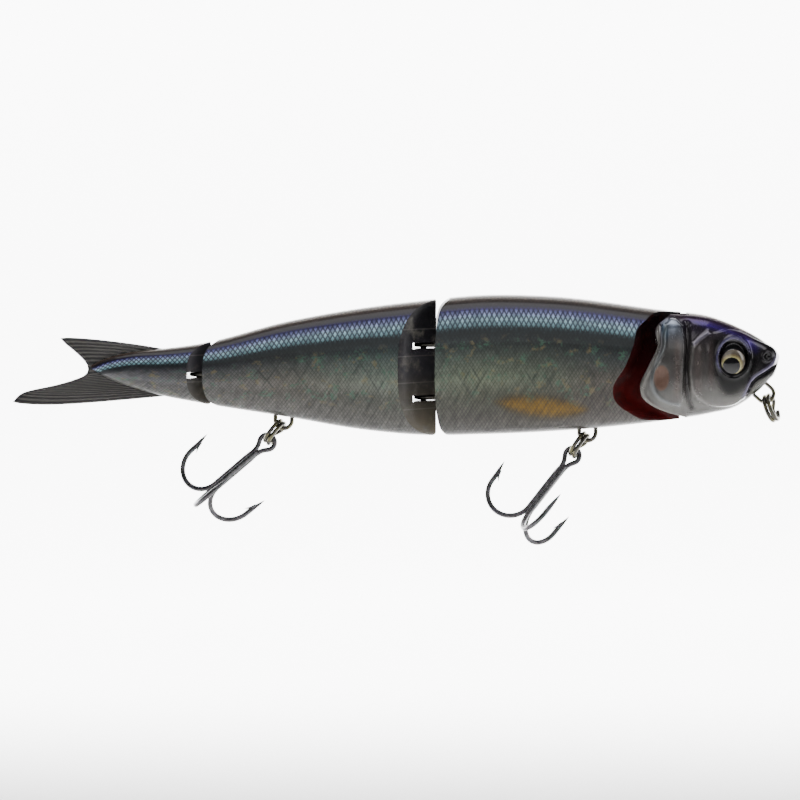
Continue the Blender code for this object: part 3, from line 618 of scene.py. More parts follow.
def scale_paint():
    made = new_finish("scale_paint", roughness=0.38, metallic=0.25, coat=0.35)
    place, depth = measure(made, "place"), measure(made, "depth")
    base = painted(made, "paint")
    rim, chance = diamonds(made, place, depth, 1.26, 2.4)
    # painted highlight: in the bright rows the middle of each scale is lightened by a random amount, and its
    # rim is darkened as the scale pattern
    lit = fade(made, rim, 0.92, 0.45)
    bright_rows = maths(made, "MULTIPLY", fade(made, depth, 2.6, 3.8), fade(made, depth, 9.5, 7.0))
    brightness = maths(made, "MULTIPLY_ADD", chance, 1.1, 1.05)
    glowing = mixed(made, 1.0, base, node(made, "ShaderNodeCombineColor", brightness, brightness,
                                          brightness).outputs[0], "MULTIPLY")
    dark = mixed(made, 1.0, base, (0.22, 0.20, 0.26, 1.0), "MULTIPLY")
    rows = mixed(made, lit, dark, glowing)
    # the finer scales get a weaker painted highlight in their middles, random for each scale
    small_rim, small_chance = diamonds(made, place, depth, 0.94, 1.5)
    small_lit = maths(made, "MULTIPLY_ADD", fade(made, small_rim, 1.0, 0.5), 0.40, 0.75)
    small_lit = maths(made, "MULTIPLY_ADD", maths(made, "SUBTRACT", small_chance, 0.5), 0.30, small_lit)
    fine = mixed(made, 1.0, base, node(made, "ShaderNodeCombineColor", small_lit, small_lit,
                                       small_lit).outputs[0], "MULTIPLY")
    coat_colour = mixed(made, bright_rows, fine, rows)
    # big soft scales under the clear coat, with a green and gold sheen
    big_rim, _ = diamonds(made, place, depth, 4.4, 7.2)
    mid = maths(made, "MULTIPLY", fade(made, depth, 9.0, 12.5), fade(made, depth, 29.0, 23.0))
    big_edge = maths(made, "MULTIPLY", fade(made, big_rim, 0.72, 0.98), maths(made, "MULTIPLY", mid, 0.45))
    showing = fade(made, grain(made, place, depth, 14.0, scale=0.16, detail=2.0), 0.45, 0.62)
    big_edge = maths(made, "MULTIPLY", big_edge, showing)
    coat_colour = mixed(made, big_edge, coat_colour, (0.030, 0.034, 0.034, 1.0))
    patch = grain(made, place, depth, scale=0.28, detail=3.0, roughness=0.6)
    fleck = grain(made, place, depth, 4.0, scale=1.1, detail=2.0, roughness=0.6)
    green = maths(made, "MULTIPLY", fade(made, patch, 0.50, 0.66), fade(made, fleck, 0.42, 0.62))
    green = maths(made, "MULTIPLY", maths(made, "MULTIPLY", green, mid), 0.55)
    coat_colour = mixed(made, green, coat_colour,
                        (0.085, 0.20, 0.13, 1.0))
    other = grain(made, place, depth, 9.0, scale=0.33, detail=3.0, roughness=0.6)
    gold = maths(made, "MULTIPLY", fade(made, other, 0.55, 0.70), maths(made, "MULTIPLY", mid, 0.40))
    coat_colour = mixed(made, gold, coat_colour, (0.30, 0.25, 0.12, 1.0))
    # brushed streaks low on the flank, leaning forward at the top
    lean = maths(made, "MULTIPLY_ADD", depth, 0.55, place)
    streak = grain(made, lean, maths(made, "MULTIPLY", depth, 0.14), scale=1.25, detail=3.0, roughness=0.65)
    low = fade(made, depth, 14.0, 24.0)
    tone = maths(made, "MULTIPLY_ADD", maths(made, "SUBTRACT", streak, 0.5),
                 maths(made, "MULTIPLY", low, 1.9), 1.0)
    coat_colour = mixed(made, 1.0, coat_colour, node(made, "ShaderNodeCombineColor", tone, tone,
                                                     tone).outputs[0], "MULTIPLY")
    shade(made, "Base Color", coat_colour)
    height = maths(made, "MULTIPLY", lit, bright_rows)
    height = maths(made, "ADD", height, maths(made, "MULTIPLY", small_lit, 0.4))
    relief(made, height, 0.00005, 0.5)
    return made


SCALE_PAINT = scale_paint()
print("scale paint:", len(SCALE_PAINT.node_tree.nodes), "nodes")

# %% [markdown]
# ## Head, gills and hinges: the plain finishes
# The head is metal foil under smoky clear coat, so it is far shinier than the flanks. The gill
# zone behind it is deep red plastic, nearly black at the top, and the wedges of the other
# joints are smoky clear plastic that lets a little light through.

# %% Head foil
def head_foil():
    made = new_finish("head_foil", roughness=0.26, metallic=0.60, coat=0.6)
    place, depth = measure(made, "place"), measure(made, "depth")
    base = painted(made, "paint")
    cloud = grain(made, place, depth, scale=0.35, detail=3.0, roughness=0.55)
    brush = grain(made, maths(made, "MULTIPLY", place, 2.2), maths(made, "MULTIPLY", depth, 0.25), scale=0.8,
                  detail=3.0, roughness=0.6)
    tone = maths(made, "MULTIPLY_ADD", maths(made, "SUBTRACT", cloud, 0.5), 0.35, 1.0)
    tone = maths(made, "MULTIPLY_ADD", maths(made, "SUBTRACT", brush, 0.5), 0.28, tone)
    shade(made, "Base Color", mixed(made, 1.0, base, node(made, "ShaderNodeCombineColor", tone, tone,
                                                         tone).outputs[0], "MULTIPLY"))
    shade(made, "Roughness", maths(made, "MULTIPLY_ADD", cloud, 0.16, 0.17))
    relief(made, grain(made, place, depth, scale=1.4, detail=3.0), 0.00004, 0.35)
    return made


def place_mm(made):
    """Position on the fish in millimetres, as three numbers."""
    where = node(made, "ShaderNodeTexCoord").outputs["Object"]
    parts = node(made, "ShaderNodeSeparateXYZ", where).outputs
    return [maths(made, "MULTIPLY", part, 1000.0) for part in parts]


def colour_steps(made, value, low, high, stops):
    """A colour read from stops between two values."""
    ramp = made.node_tree.nodes.new("ShaderNodeValToRGB")
    share = node(made, "ShaderNodeMapRange", value, low, high, 0.0, 1.0).outputs[0]
    made.node_tree.links.new(share, ramp.inputs[0])
    ramp.color_ramp.interpolation = "EASE"
    while len(ramp.color_ramp.elements) < len(stops):
        ramp.color_ramp.elements.new(0.5)
    for element, (at, code) in zip(ramp.color_ramp.elements, stops):
        element.position = at
        element.color = (*hue(code), 1.0)
    return ramp.outputs[0]


def gill_red():
    made = new_finish("gill_red", roughness=0.38, coat=0.5, coat_roughness=0.12)
    x, y, z = place_mm(made)
    reds = [(0.0, "5a1414"), (0.25, "560c0a"), (0.48, "440807"), (0.62, "33080a"), (0.85, "1d090c"),
            (1.0, "100a0c")]
    colour = colour_steps(made, z, -10.0, 22.0, reds)
    cloud = grain(made, x, y, z, scale=0.3, detail=3.0)
    shade(made, "Base Color", mixed(made, fade(made, cloud, 0.45, 0.75), colour, (0.03, 0.004, 0.003, 1.0)))
    relief(made, cloud, 0.0001, 0.3)
    return made


def smoky_plastic():
    made = new_finish("smoky_plastic", roughness=0.30, coat=0.6, coat_roughness=0.1)
    x, y, z = place_mm(made)
    smokes = [(0.0, "6c6558"), (0.3, "4e4a44"), (0.55, "37353a"), (1.0, "1e1c20")]
    colour = colour_steps(made, z, -10.0, 22.0, smokes)
    cloud = grain(made, x, y, z, scale=0.22, detail=4.0, roughness=0.6)
    rib = fade(made, maths(made, "ABSOLUTE", maths(made, "SUBTRACT", maths(made, "FRACT", maths(
        made, "MULTIPLY", z, 0.145)), 0.5)), 0.04, 0.0)
    colour = mixed(made, fade(made, cloud, 0.5, 0.8), colour, (0.17, 0.16, 0.14, 1.0))
    colour = mixed(made, maths(made, "MULTIPLY", rib, 0.25), colour, (0.30, 0.29, 0.27, 1.0))
    shade(made, "Base Color", colour)
    relief(made, cloud, 0.0001, 0.3)
    return made


HEAD_FOIL, GILL_RED, SMOKY_PLASTIC = head_foil(), gill_red(), smoky_plastic()
print("head foil, gill red and smoky plastic made")

# %% [markdown]
# ## The head
# The head carries all the fine carving: a raised cheek plate, a gill cover with a shaped rim,
# a groove between them, the lip bone that sweeps down from the snout, a jaw lobe, the eye
# socket with its brow, and a nostril. Each is a line or an outline in side view with a height
# and a width, so the carving can be read like a list.

# %% Lines of the head
RIM_LINE = curve_through([
    (-29.0, 18.3), (-29.1, 14.4), (-30.4, 8.8), (-32.4, 5.3), (-33.4, 2.2), (-32.3, -0.6),
    (-29.0, -2.9), (-24.8, -4.7), (-21.3, -5.7)])
COVER_EDGE = curve_through([
    (-27.0, 18.4), (-27.6, 15.8), (-27.5, 13.5), (-28.1, 11.6), (-29.8, 8.7), (-30.6, 6.3),
    (-30.8, 3.9), (-30.2, 1.5), (-28.6, -0.5), (-25.9, -1.8), (-23.3, -2.2)])
COVER = COVER_EDGE + curve_through([(-22.8, -1.6), (-22.6, 3.0), (-22.3, 8.0), (-22.0, 13.0), (-22.4, 17.2),
                                    (-23.8, 19.6), (-25.6, 19.9)])
COVER_RIDGE = curve_through([
    (-22.8, 17.8), (-22.4, 14.0), (-22.7, 10.0), (-23.6, 6.5), (-23.6, 2.5), (-23.0, -0.6)])
GROOVE = curve_through([
    (-21.3, 18.6), (-21.4, 13.0), (-21.8, 8.0), (-21.5, 3.0), (-21.0, -0.8), (-20.0, -3.0)])
CHEEK_EDGE = curve_through([
    (-20.0, 13.4), (-20.5, 10.5), (-20.9, 7.4), (-20.6, 4.4), (-20.2, 2.2), (-19.1, 0.4),
    (-17.2, -1.2), (-14.6, -2.4), (-11.0, -2.6), (-8.3, -2.0), (-6.7, -0.6)])
LIP_BONE = curve_through([
    (3.0, 11.0), (2.3, 9.4), (1.1, 7.8), (-1.5, 6.1), (-3.8, 4.8), (-5.0, 3.0),
    (-5.6, 1.2), (-6.4, -0.4)])
CHEEK = CHEEK_EDGE + LIP_BONE[::-1] + curve_through([(1.0, 12.6), (-3.0, 14.2), (-7.0, 16.4), (-11.0, 17.2),
                                                     (-14.0, 16.2), (-16.0, 16.4), (-18.0, 15.2)])
CREST = [(-19.9, 13.5), (-18.0, 15.2), (-15.9, 16.5)]
MOUTH = curve_through([
    (3.3, 8.9), (1.6, 7.0), (-0.6, 5.6), (-3.0, 4.4), (-4.6, 2.6), (-5.0, 0.9)])
JAW = curve_through([
    (3.1, 8.2), (1.6, 5.0), (-0.4, 2.4), (-2.4, 0.5), (-4.2, -0.3), (-5.2, 0.5),
    (-4.6, 2.4), (-3.0, 4.0), (-0.6, 5.2), (1.4, 6.6)])
EYE_X, EYE_Z, EYE_RADIUS = -9.4, 8.9, 3.42
BROW_X, BROW_Z, BROW_WIDE, BROW_TALL = -9.3, 9.9, 4.1, 4.9


def brow_ring(x, z):
    """1 on the rim of the eye socket, less inside it, more outside it."""
    return np.hypot((x - BROW_X) / BROW_WIDE, (z - BROW_Z) / BROW_TALL)


def head_push(x, z):
    """How far the head stands out of the plain fish, in millimetres."""
    lift = 0.42 * step_up(inside_of(x, z, COVER), -0.35, 0.45)
    lift += 0.30 * ridge(x, z, RIM_LINE, 0.55)
    lift += 0.28 * ridge(x, z, COVER_EDGE, 0.45)
    lift += 0.34 * ridge(x, z, COVER_RIDGE, 0.75)
    lift -= 0.75 * ridge(x, z, GROOVE, 0.75)
    lift += 0.34 * step_up(inside_of(x, z, CHEEK), -0.40, 0.40)
    lift += 0.24 * ridge(x, z, CHEEK_EDGE, 0.45)
    lift += 0.45 * ridge(x, z, CREST, 0.55)
    lift += 0.34 * ridge(x, z, LIP_BONE, 0.55)
    lift -= 0.62 * ridge(x, z, MOUTH, 0.42)
    lift += 0.22 * step_up(inside_of(x, z, JAW), -0.2, 0.5)
    lift += 0.35 * np.exp(-((x + 24.6) / 1.8) ** 2 - ((z - 17.6) / 2.0) ** 2)
    lift -= 0.30 * np.exp(-((x + 28.2) / 1.9) ** 2 - ((z - 4.9) / 3.2) ** 2)
    for column in (-17.9, -15.6):
        lift += 0.13 * np.exp(-((x - column) / 0.6) ** 2) * step_up(z, 0.0, 5.0) * step_up(-z, -15.0, -11.0)
    socket = brow_ring(x, z)
    lift -= 1.1 * step_up(-socket, -1.0, -0.72)
    lift += 0.38 * np.exp(-((socket - 1.07) / 0.09) ** 2)
    nostril = np.hypot(x + 0.3, z - 10.1)
    lift -= 0.62 * step_up(-nostril, -1.0, -0.25)
    lift += 0.16 * np.exp(-((nostril - 1.25) / 0.3) ** 2)
    near_nose = step_up(-x, -3.1, -1.6)
    return lift * near_nose


print("head carved from", len(COVER) + len(CHEEK) + len(JAW), "outline points")

# %% [markdown]
# ## Head paint
# The head is airbrushed over foil: violet over the brain, black round the eye and on the snout,
# grey silver below, and a pink spot on the gill cover. Pale lines on the ridges and the top edge
# and glints on the gill cover and brow are painted highlights; dark lines in the groove, mouth and
# nostril are painted shade. Airbrushed edges are soft, so each colour is laid with a mask that fades
# over a millimetre or more.

# %% Head colours
VIOLET = curve_through([
    (-31.0, 27.0), (-29.0, 19.9), (-25.0, 21.2), (-20.0, 19.2), (-16.0, 17.4), (-11.0, 16.4),
    (-6.4, 14.0), (-4.4, 11.2), (-3.2, 10.4), (-1.4, 12.6), (2.0, 14.0), (3.0, 27.0)])
EYE_SHADE = curve_through([
    (-14.6, 14.6), (-9.0, 15.6), (-5.0, 12.6), (-1.6, 9.0), (-4.0, 4.6), (-6.0, 1.6),
    (-9.5, -0.4), (-12.6, 0.8), (-13.8, 5.0), (-14.4, 9.0)])


def head_colours(x, z):
    depth = body_section(x)[0] - z
    colours = read_bands([
        (-7.0, "b4b2ae"), (-4.6, "8f8d8a"), (-2.6, "a3a19d"), (0.5, "8b8985"), (4.0, "807d7a"),
        (9.0, "706d6c"), (13.5, "5c5759"), (18.0, "463d52"), (22.0, "3a2d48")], z)

    def lay(mask, code, strength=1.0):
        nonlocal colours
        mask = (mask * strength)[:, None]
        colours = colours * (1.0 - mask) + np.array(hue(code)) * mask

    lay(step_up(inside_of(x, z, COVER), -0.6, 0.9), "8a8784", 0.6)
    lay(np.exp(-((x + 18.8) / 1.3) ** 2) * step_up(z, -1.0, 3.0) * step_up(-z, -15.0, -11.0), "8a7c78", 0.6)
    lay(np.exp(-((x + 15.2) / 0.9) ** 2) * step_up(z, 1.0, 5.0) * step_up(-z, -16.0, -12.0), "7d6d6a", 0.6)
    lay(np.exp(-((x + 13.2) / 1.3) ** 2) * step_up(z, 3.0, 7.0) * step_up(-z, -15.0, -12.0), "2a272a", 0.8)
    lay(np.exp(-((x + 24.2) / 0.8) ** 2) * step_up(z, -2.0, 2.0) * step_up(-z, -17.0, -13.0), "9b8a84", 0.55)
    lay(step_up(inside_of(x, z, COVER), -0.4, 0.8) * step_up(z, 12.0, 17.0), "3f4a5c", 0.7)
    # painted highlight: a blue-white glint with a blue fringe on the top of the gill cover
    lay(np.exp(-((x + 25.3) / 1.3) ** 2 - ((z - 18.8) / 1.7) ** 2), "d8e6ff", 1.0)
    lay(np.exp(-((x + 27.4) / 0.8) ** 2 - ((z - 17.0) / 1.8) ** 2), "5d8fb4", 0.8)
    lay(step_up(inside_of(x, z, VIOLET), -0.7, 0.9), "5634a4", 1.0)
    lay(step_up(-depth, -2.6, -0.9), "4c2b33", 0.85)
    # tan top edge, lightened as a painted highlight from above
    lay(step_up(-depth, -0.9, -0.1), "a38f7a", 0.9)
    lay(step_up(inside_of(x, z, EYE_SHADE), -1.2, 1.4), "0b090b", 1.0)
    lay(step_up(x + 0.22 * (z - 10.0), -5.0, -1.6) * step_up(inside_of(x, z, JAW), 0.8, -0.6), "1d1a22", 0.9)
    lay(step_up(inside_of(x, z, JAW), -0.2, 0.9) * step_up(-z, -5.5, -1.0), "7c7c70", 0.8)
    # painted highlights: pale lines along the lip bone, the cheek edge, the gill cover edge, the gill rim and
    # the crest, where these ridges would catch the light
    lay(ridge(x, z, LIP_BONE, 0.55), "a49ac0", 0.8)
    lay(ridge(x, z, CHEEK_EDGE, 0.5), "bab7b2", 0.65)
    lay(ridge(x, z, COVER_EDGE, 0.5), "a9b0b2", 0.65)
    lay(ridge(x, z, RIM_LINE, 0.6), "b5b2aa", 0.7)
    lay(ridge(x, z, CREST, 0.4), "b0a9bd", 0.8)
    # painted shade in the groove between the gill cover and the cheek plate
    lay(ridge(x, z, GROOVE, 0.75), "2c2828", 0.75)
    # painted shade in the mouth crease
    lay(ridge(x, z, MOUTH, 0.4), "0c0b0c", 0.9)
    lay(step_up(-np.hypot((x + 28.2) / 2.0, (z - 4.9) / 3.3), -1.08, -0.9), "a9826f", 0.85)
    lay(step_up(-brow_ring(x, z), -1.02, -0.92), "0b0a0c", 0.95)
    # painted highlight on the upper rim of the eye socket
    lay(np.exp(-((brow_ring(x, z) - 1.07) / 0.08) ** 2) * step_up(z - 0.6 * x, 13.0, 17.0), "9a93c4", 0.7)
    # painted shade in the nostril hole
    lay(step_up(-np.hypot(x + 0.3, z - 10.1), -1.1, -0.7), "060506", 0.95)
    return 0.55 * colours


# %% [markdown]
# ## Cutting the pieces
# Each piece is cut from the fine skin with its plan block, which gives it a true wedge and a
# true notch. The two halves are kept as separate pieces, as they are before they are welded.

# %% Head shells
def front_edge(x):
    return lambda z: [(x, 1.0), (x, 2.0), (x, FAR_OUT)]


def keep_in_frame(piece):
    """Trims the few hundredths by which a carved skin passes the box of the frame."""
    low, high = (np.array(corner) / MM for corner in frame_box)
    flat = np.clip(spots(piece), low + 0.005, high - 0.005) * MM
    piece.data.vertices.foreach_set("co", flat.astype(np.float32).ravel())
    piece.data.update()


def make_shells(name, body, places, around, push, finishes, front_half, rear_half, slots, colours_at):
    """The two half shells of one piece of the fish, cut, painted and put on the frame."""
    made = []
    for label, side in (("left", 1.0), ("right", -1.0)):
        shell = half_skin(f"{name}_skin_{label}", side, places, around, push, finishes[:1])
        block = plan_block("plan_tool", front_half, rear_half, HEIGHTS, finishes[1], finishes[2])
        carve(shell, block, "INTERSECT")
        for hinge in slots:
            hinge_slots(shell, hinge)
        paint_fish(shell, colours_at)
        soften(shell, 42.0)
        keep_in_frame(shell)
        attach(shell, body)
        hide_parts(f"{name}_shell_{label}")
        made.append(shell)
        print(shell.name, "faces", len(shell.data.polygons))
    return made


fine = 1.0
nose_start = NOSE_X - np.linspace(0.0, 1.0, int(26 / fine)) ** 2.2 * 4.0
head_rest = np.arange(NOSE_X - 4.0 - 0.3 * fine, HEAD_AXIS - 8.6, -0.3 * fine)
head_places = np.concatenate([nose_start, head_rest])
make_shells("head", "head", head_places, int(150 / fine), head_push, (HEAD_FOIL, HEAD_FOIL, GILL_RED),
            front_edge(NOSE_X + 5.0), lambda z: notch_half(HEAD_HINGE, z), [], head_colours)

# %% Front, rear and tail shells
def even_places(front, rear, step):
    return np.linspace(front, rear, int(abs(front - rear) / (step * fine)) + 2)


make_shells("front", "front_body", even_places(HEAD_AXIS + 5.0, MID_AXIS + 1.0, 0.45), int(90 / fine),
            flat_push, (SCALE_PAINT, GILL_RED, SMOKY_PLASTIC), lambda z: wedge_half(HEAD_HINGE, z),
            lambda z: notch_half(MID_HINGE, z), [HEAD_HINGE], flank_colours)
make_shells("rear", "rear_body", even_places(MID_AXIS + 4.5, TAIL_AXIS + 1.0, 0.45), int(80 / fine),
            flat_push, (SCALE_PAINT, SMOKY_PLASTIC, SMOKY_PLASTIC), lambda z: wedge_half(MID_HINGE, z),
            lambda z: notch_half(TAIL_HINGE, z), [MID_HINGE], flank_colours)


# %% [markdown]
# ## Tail stock
# The tail piece thins out to a blunt tip and is slit down its middle for the fin. The slit is
# cut with a plain box, a little wider than the fin.

# %% Tail shells
def tail_end(z):
    return [(TAIL_TIP - 5.0, 1.0), (TAIL_TIP - 5.0, 2.0), (TAIL_TIP - 5.0, FAR_OUT)]


tail_shells = make_shells("tail", "tail", even_places(TAIL_AXIS + 4.5, TAIL_TIP, 0.35),
                          int(70 / fine), flat_push, (SCALE_PAINT, SMOKY_PLASTIC, SMOKY_PLASTIC),
                          lambda z: wedge_half(TAIL_HINGE, z), tail_end, [TAIL_HINGE], flank_colours)
FIN_ROOT_X = TAIL_TIP + 18.4
for shell in tail_shells:
    slit = box_solid((TAIL_TIP - 6.0, -0.62, -40.0), (FIN_ROOT_X + 0.3, 0.62, 50.0))
    carve(shell, new_piece("slit_tool", *slit, (SMOKY_PLASTIC,)), "DIFFERENCE")
    soften(shell, 42.0)
print("tail shells slit for the fin")

# %% [markdown]
# ## The tail fin
# The fin is soft smoky plastic with raised rays that fan out from the tail. It could be a flat
# plate with the rays in a bump map, but real ridges catch the light at the edge. So the fin is
# a net whose lines run along the rays, thicker on each ray and thin at the fork.

# %% Fin net
FIN_TOP = curve_through([
    (-157.0, 11.8), (-162.6, 12.8), (-168.6, 13.6), (-174.6, 14.3), (-181.4, 14.8), (-183.9, 14.6)], 2)
FIN_LOW = curve_through([
    (-157.0, -0.6), (-166.6, -1.5), (-174.6, -2.2), (-182.6, -2.75), (-188.6, -2.9), (-194.6, -2.6),
    (-196.5, -2.1)], 2)
FIN_FORK = curve_through([
    (-183.9, 14.6), (-182.6, 13.1), (-180.6, 11.5), (-178.6, 9.7), (-177.2, 8.1), (-176.7, 6.7),
    (-177.0, 5.4), (-178.6, 4.3), (-184.6, 2.4), (-192.4, 0.9), (-194.9, -0.2), (-196.5, -2.1)], 2)
FIN_RAYS = 23
FIN_ROOT, ROOT_TOP, ROOT_LOW = -157.0, 11.8, -0.6
THICK_AT_ROOT, THICK_AT_FORK, THIN_EDGE = 0.44, 0.17, 0.08


def along_line(corners, shares):
    """Points at even shares of the length of a line."""
    corners = np.array(corners)
    run = np.concatenate([[0.0], np.cumsum(np.hypot(*np.diff(corners, axis=0).T))])
    return np.stack([np.interp(shares * run[-1], run, corners[:, part]) for part in (0, 1)], axis=1)


def make_fin():
    across, steps = int(230 / fine), int(70 / fine)
    s = np.linspace(0.0, 1.0, across)
    fork = along_line(FIN_FORK, s)
    root = np.stack([np.full(across, FIN_ROOT), ROOT_TOP + (ROOT_LOW - ROOT_TOP) * s], axis=1)
    points = []
    for t in np.linspace(0.0, 1.0, steps):
        top, low = along_line(FIN_TOP, np.array([t]))[0], along_line(FIN_LOW, np.array([t]))[0]
        row = root * (1.0 - t) + fork * t
        row += (top - row[0]) * (1.0 - s[:, None]) ** 3 + (low - row[-1]) * s[:, None] ** 3
        ray = np.abs(np.sin(np.pi * FIN_RAYS * s)) ** 0.7
        edge = np.clip(np.minimum(s, 1.0 - s) / 0.02, 0.0, 1.0) ** 0.5
        body = THICK_AT_ROOT * (1.0 - t) + THICK_AT_FORK * t
        thinning = np.sqrt(np.clip((1.02 - t) / 0.06, 0.05, 1.0))
        half = (THIN_EDGE + (body - THIN_EDGE) * edge) * (0.62 + 0.38 * ray) * thinning
        points.extend([(x, y, z) for (x, z), y in zip(row, half)])
        points.extend([(x, -y, z) for (x, z), y in zip(row[::-1], half[::-1])])
    ring = 2 * across
    faces = loft_faces(steps, ring)[:-2]
    for start in (0, (steps - 1) * ring):
        faces += [(start + i, start + i + 1, start + ring - 2 - i, start + ring - 1 - i)
                  for i in range(across - 1)]
    fin = new_piece("soft_tail_fin", points, faces, (fin_plastic(),))
    store(fin, "ray", np.tile(np.concatenate([s, s[::-1]]), steps))
    store(fin, "reach", np.repeat(np.linspace(0.0, 1.0, steps), ring))
    return fin


def fin_plastic():
    made = new_finish("fin_plastic", roughness=0.34, coat=0.35, coat_roughness=0.15)
    ray, reach = measure(made, "ray"), measure(made, "reach")
    stripe = maths(made, "ABSOLUTE", maths(made, "SINE", maths(made, "MULTIPLY", ray, math.pi * FIN_RAYS)))
    valley, crown = (0.105, 0.098, 0.088, 1.0), (0.026, 0.025, 0.024, 1.0)
    colour = mixed(made, fade(made, stripe, 0.25, 0.9), valley, crown)
    cloud = grain(made, maths(made, "MULTIPLY", ray, 26.0), maths(made, "MULTIPLY", reach, 3.0),
                  scale=1.0, detail=3.0, roughness=0.6)
    root = maths(made, "MULTIPLY", fade(made, reach, 0.62, 0.15), fade(made, ray, 0.75, 0.1))
    light = maths(made, "MULTIPLY", fade(made, cloud, 0.42, 0.62), root)
    colour = mixed(made, maths(made, "MULTIPLY", light, 0.85), colour, (0.26, 0.25, 0.235, 1.0))
    shade(made, "Base Color", colour)
    relief(made, cloud, 0.00008, 0.4)
    return made


fin = soften(make_fin(), 55.0)
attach(fin, "tail")
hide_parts("tail_fin")
print("fin points", len(fin.data.vertices))

# %% [markdown]
# ## Wire finishes
# The rings, loops and hooks are plated steel. Plated wire is nearly a mirror, with fine marks
# from drawing, so the finish is metal with a low roughness that varies a little.

# %% Plated steel
def plated(name, code, roughness, warm=0.0):
    made = new_finish(name, roughness=roughness, metallic=1.0)
    x, y, z = place_mm(made)
    cloud = grain(made, x, y, z, scale=0.8, detail=3.0, roughness=0.6)
    scratch = grain(made, x, y, z, scale=7.0, detail=3.0, roughness=0.7)
    light = (*hue(code), 1.0)
    deep = tuple(part * 0.55 for part in light[:3]) + (1.0,)
    colour = mixed(made, fade(made, cloud, 0.3, 0.7), light, deep)
    if warm:
        olive = fade(made, grain(made, x, y, z, scale=0.45), 0.45, 0.65)
        colour = mixed(made, maths(made, "MULTIPLY", olive, warm), colour, (0.36, 0.33, 0.14, 1.0))
    shade(made, "Base Color", colour)
    shade(made, "Roughness", maths(made, "MULTIPLY_ADD", scratch, 0.22, roughness - 0.08))
    relief(made, scratch, 0.00001, 0.25)
    return made


RING_STEEL = plated("ring_steel", "6b6860", 0.22, warm=0.35)
HOOK_NICKEL = plated("hook_nickel", "747274", 0.24)
HINGE_STEEL = plated("hinge_steel", "6d6b64", 0.30)
BALLAST_STEEL = plated("ballast_steel", "8d8f93", 0.45)
print("plated finishes made")

# %% [markdown]
# ## Wire loops and pins
# The loops under the belly and the nose, and the eyes that stand in the joints, are all the
# same thing: a bent wire with two legs clamped between the shells.

# %% Loops and pins
def staple(place, radius, leg, turn, foot):
    """Route of a wire loop whose two legs run along the turned +X and end in feet."""
    corners = [(leg, radius + foot), (leg, radius + 0.6), (leg - 0.6, radius)]
    for step in range(33):
        angle = math.pi * (0.5 + step / 32)
        corners.append((radius * math.cos(angle), radius * math.sin(angle)))
    corners += [(leg - 0.6, -radius), (leg, -radius - 0.6), (leg, -radius - foot)]
    return [Vector(place) + turn @ Vector((u, v, 0.0)) for u, v in corners]


def side_turn(slope):
    return Matrix.Rotation(math.radians(-slope), 3, "Y") @ Matrix.Rotation(math.radians(90.0), 3, "X")


def fit_wire(name, route, radius, finish, body, node_name, closed=False):
    solid = wire(route, radius, 20, True) if closed else rounded_wire(route, radius, 20)
    made = soften(new_piece(name, *solid, (finish,)), 50.0)
    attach(made, body)
    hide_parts(node_name)
    return made


HINGE_EYE_RADIUS, THICK_WIRE, TIE_WIRE = 1.95, 0.55, 0.5
BELLY_LOOP_RADIUS, NOSE_LOOP_RADIUS, NOSE_LOOP_SLOPE = 2.15, 2.16, 138.5
PIN_RADIUS, PIN_PAST_EYE = 0.8, 4.8
FRONT_LOOP = (-46.4, 0.0, body_section(-46.4)[1] - 1.1)
REAR_LOOP = (-125.8, 0.0, body_section(-125.8)[1] - 1.1)
NOSE_LOOP = (0.0, 0.0, 0.0)
fit_wire("nose_loop", staple(NOSE_LOOP, NOSE_LOOP_RADIUS, 7.0, side_turn(NOSE_LOOP_SLOPE), 1.4),
         TIE_WIRE, RING_STEEL, "head", "line_tie")
fit_wire("front_belly_loop", staple(FRONT_LOOP, BELLY_LOOP_RADIUS, 8.0, side_turn(90.0), 1.9),
         THICK_WIRE, RING_STEEL, "front_body", "front_hook_hanger")
fit_wire("rear_belly_loop", staple(REAR_LOOP, BELLY_LOOP_RADIUS, 8.0, side_turn(90.0), 1.9),
         THICK_WIRE, RING_STEEL, "rear_body", "rear_hook_hanger")
for name, hinge, holder, pin_body in (("head", HEAD_HINGE, "head", "front_body"),
                                      ("mid", MID_HINGE, "front_body", "rear_body"),
                                      ("tail", TAIL_HINGE, "rear_body", "tail")):
    labels = ("lower", "upper") if len(hinge["eyes"]) > 1 else ("middle",)
    for label, z in zip(labels, hinge["eyes"]):
        place = (hinge["x"], 0.0, z)
        route = staple(place, HINGE_EYE_RADIUS, hinge["notch"][0] + 5.0, Matrix.Identity(3), 1.9)
        fit_wire(f"{name}_wire_eye_{label}", route, THICK_WIRE, HINGE_STEEL, holder,
                 f"{name}_hinge_eye_{label}")
    low, high = min(hinge["eyes"]) - PIN_PAST_EYE, max(hinge["eyes"]) + PIN_PAST_EYE
    bar = round_bar((hinge["x"], 0, low), (hinge["x"], 0, high), PIN_RADIUS)
    pin = new_piece(f"{name}_pin", *bar, (HINGE_STEEL,))
    soften(pin, 30.0)
    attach(pin, pin_body)
    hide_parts(f"{name}_hinge_pin")
print("loops, hinge eyes and pins fitted")

# %% [markdown]
# ## Split rings
# A split ring is one wire wound nearly twice, with a short step where it crosses from one coil
# to the other, so that a loop can be threaded in. A spiral would be simpler but would look
# like a spring; the real ring is two flat coils with one step.

# %% Split rings
RING_RADIUS, RING_WIRE, RING_PITCH = 3.34, 1.05, 1.10


def seat_gap(hole_radius):
    room = hole_radius - 0.3 - 0.5 * RING_WIRE
    return math.sqrt(max(room**2 - (0.5 * RING_PITCH) ** 2, 0.0))


def slope_vector(slope):
    return Vector((-math.cos(math.radians(slope)), 0.0, -math.sin(math.radians(slope))))


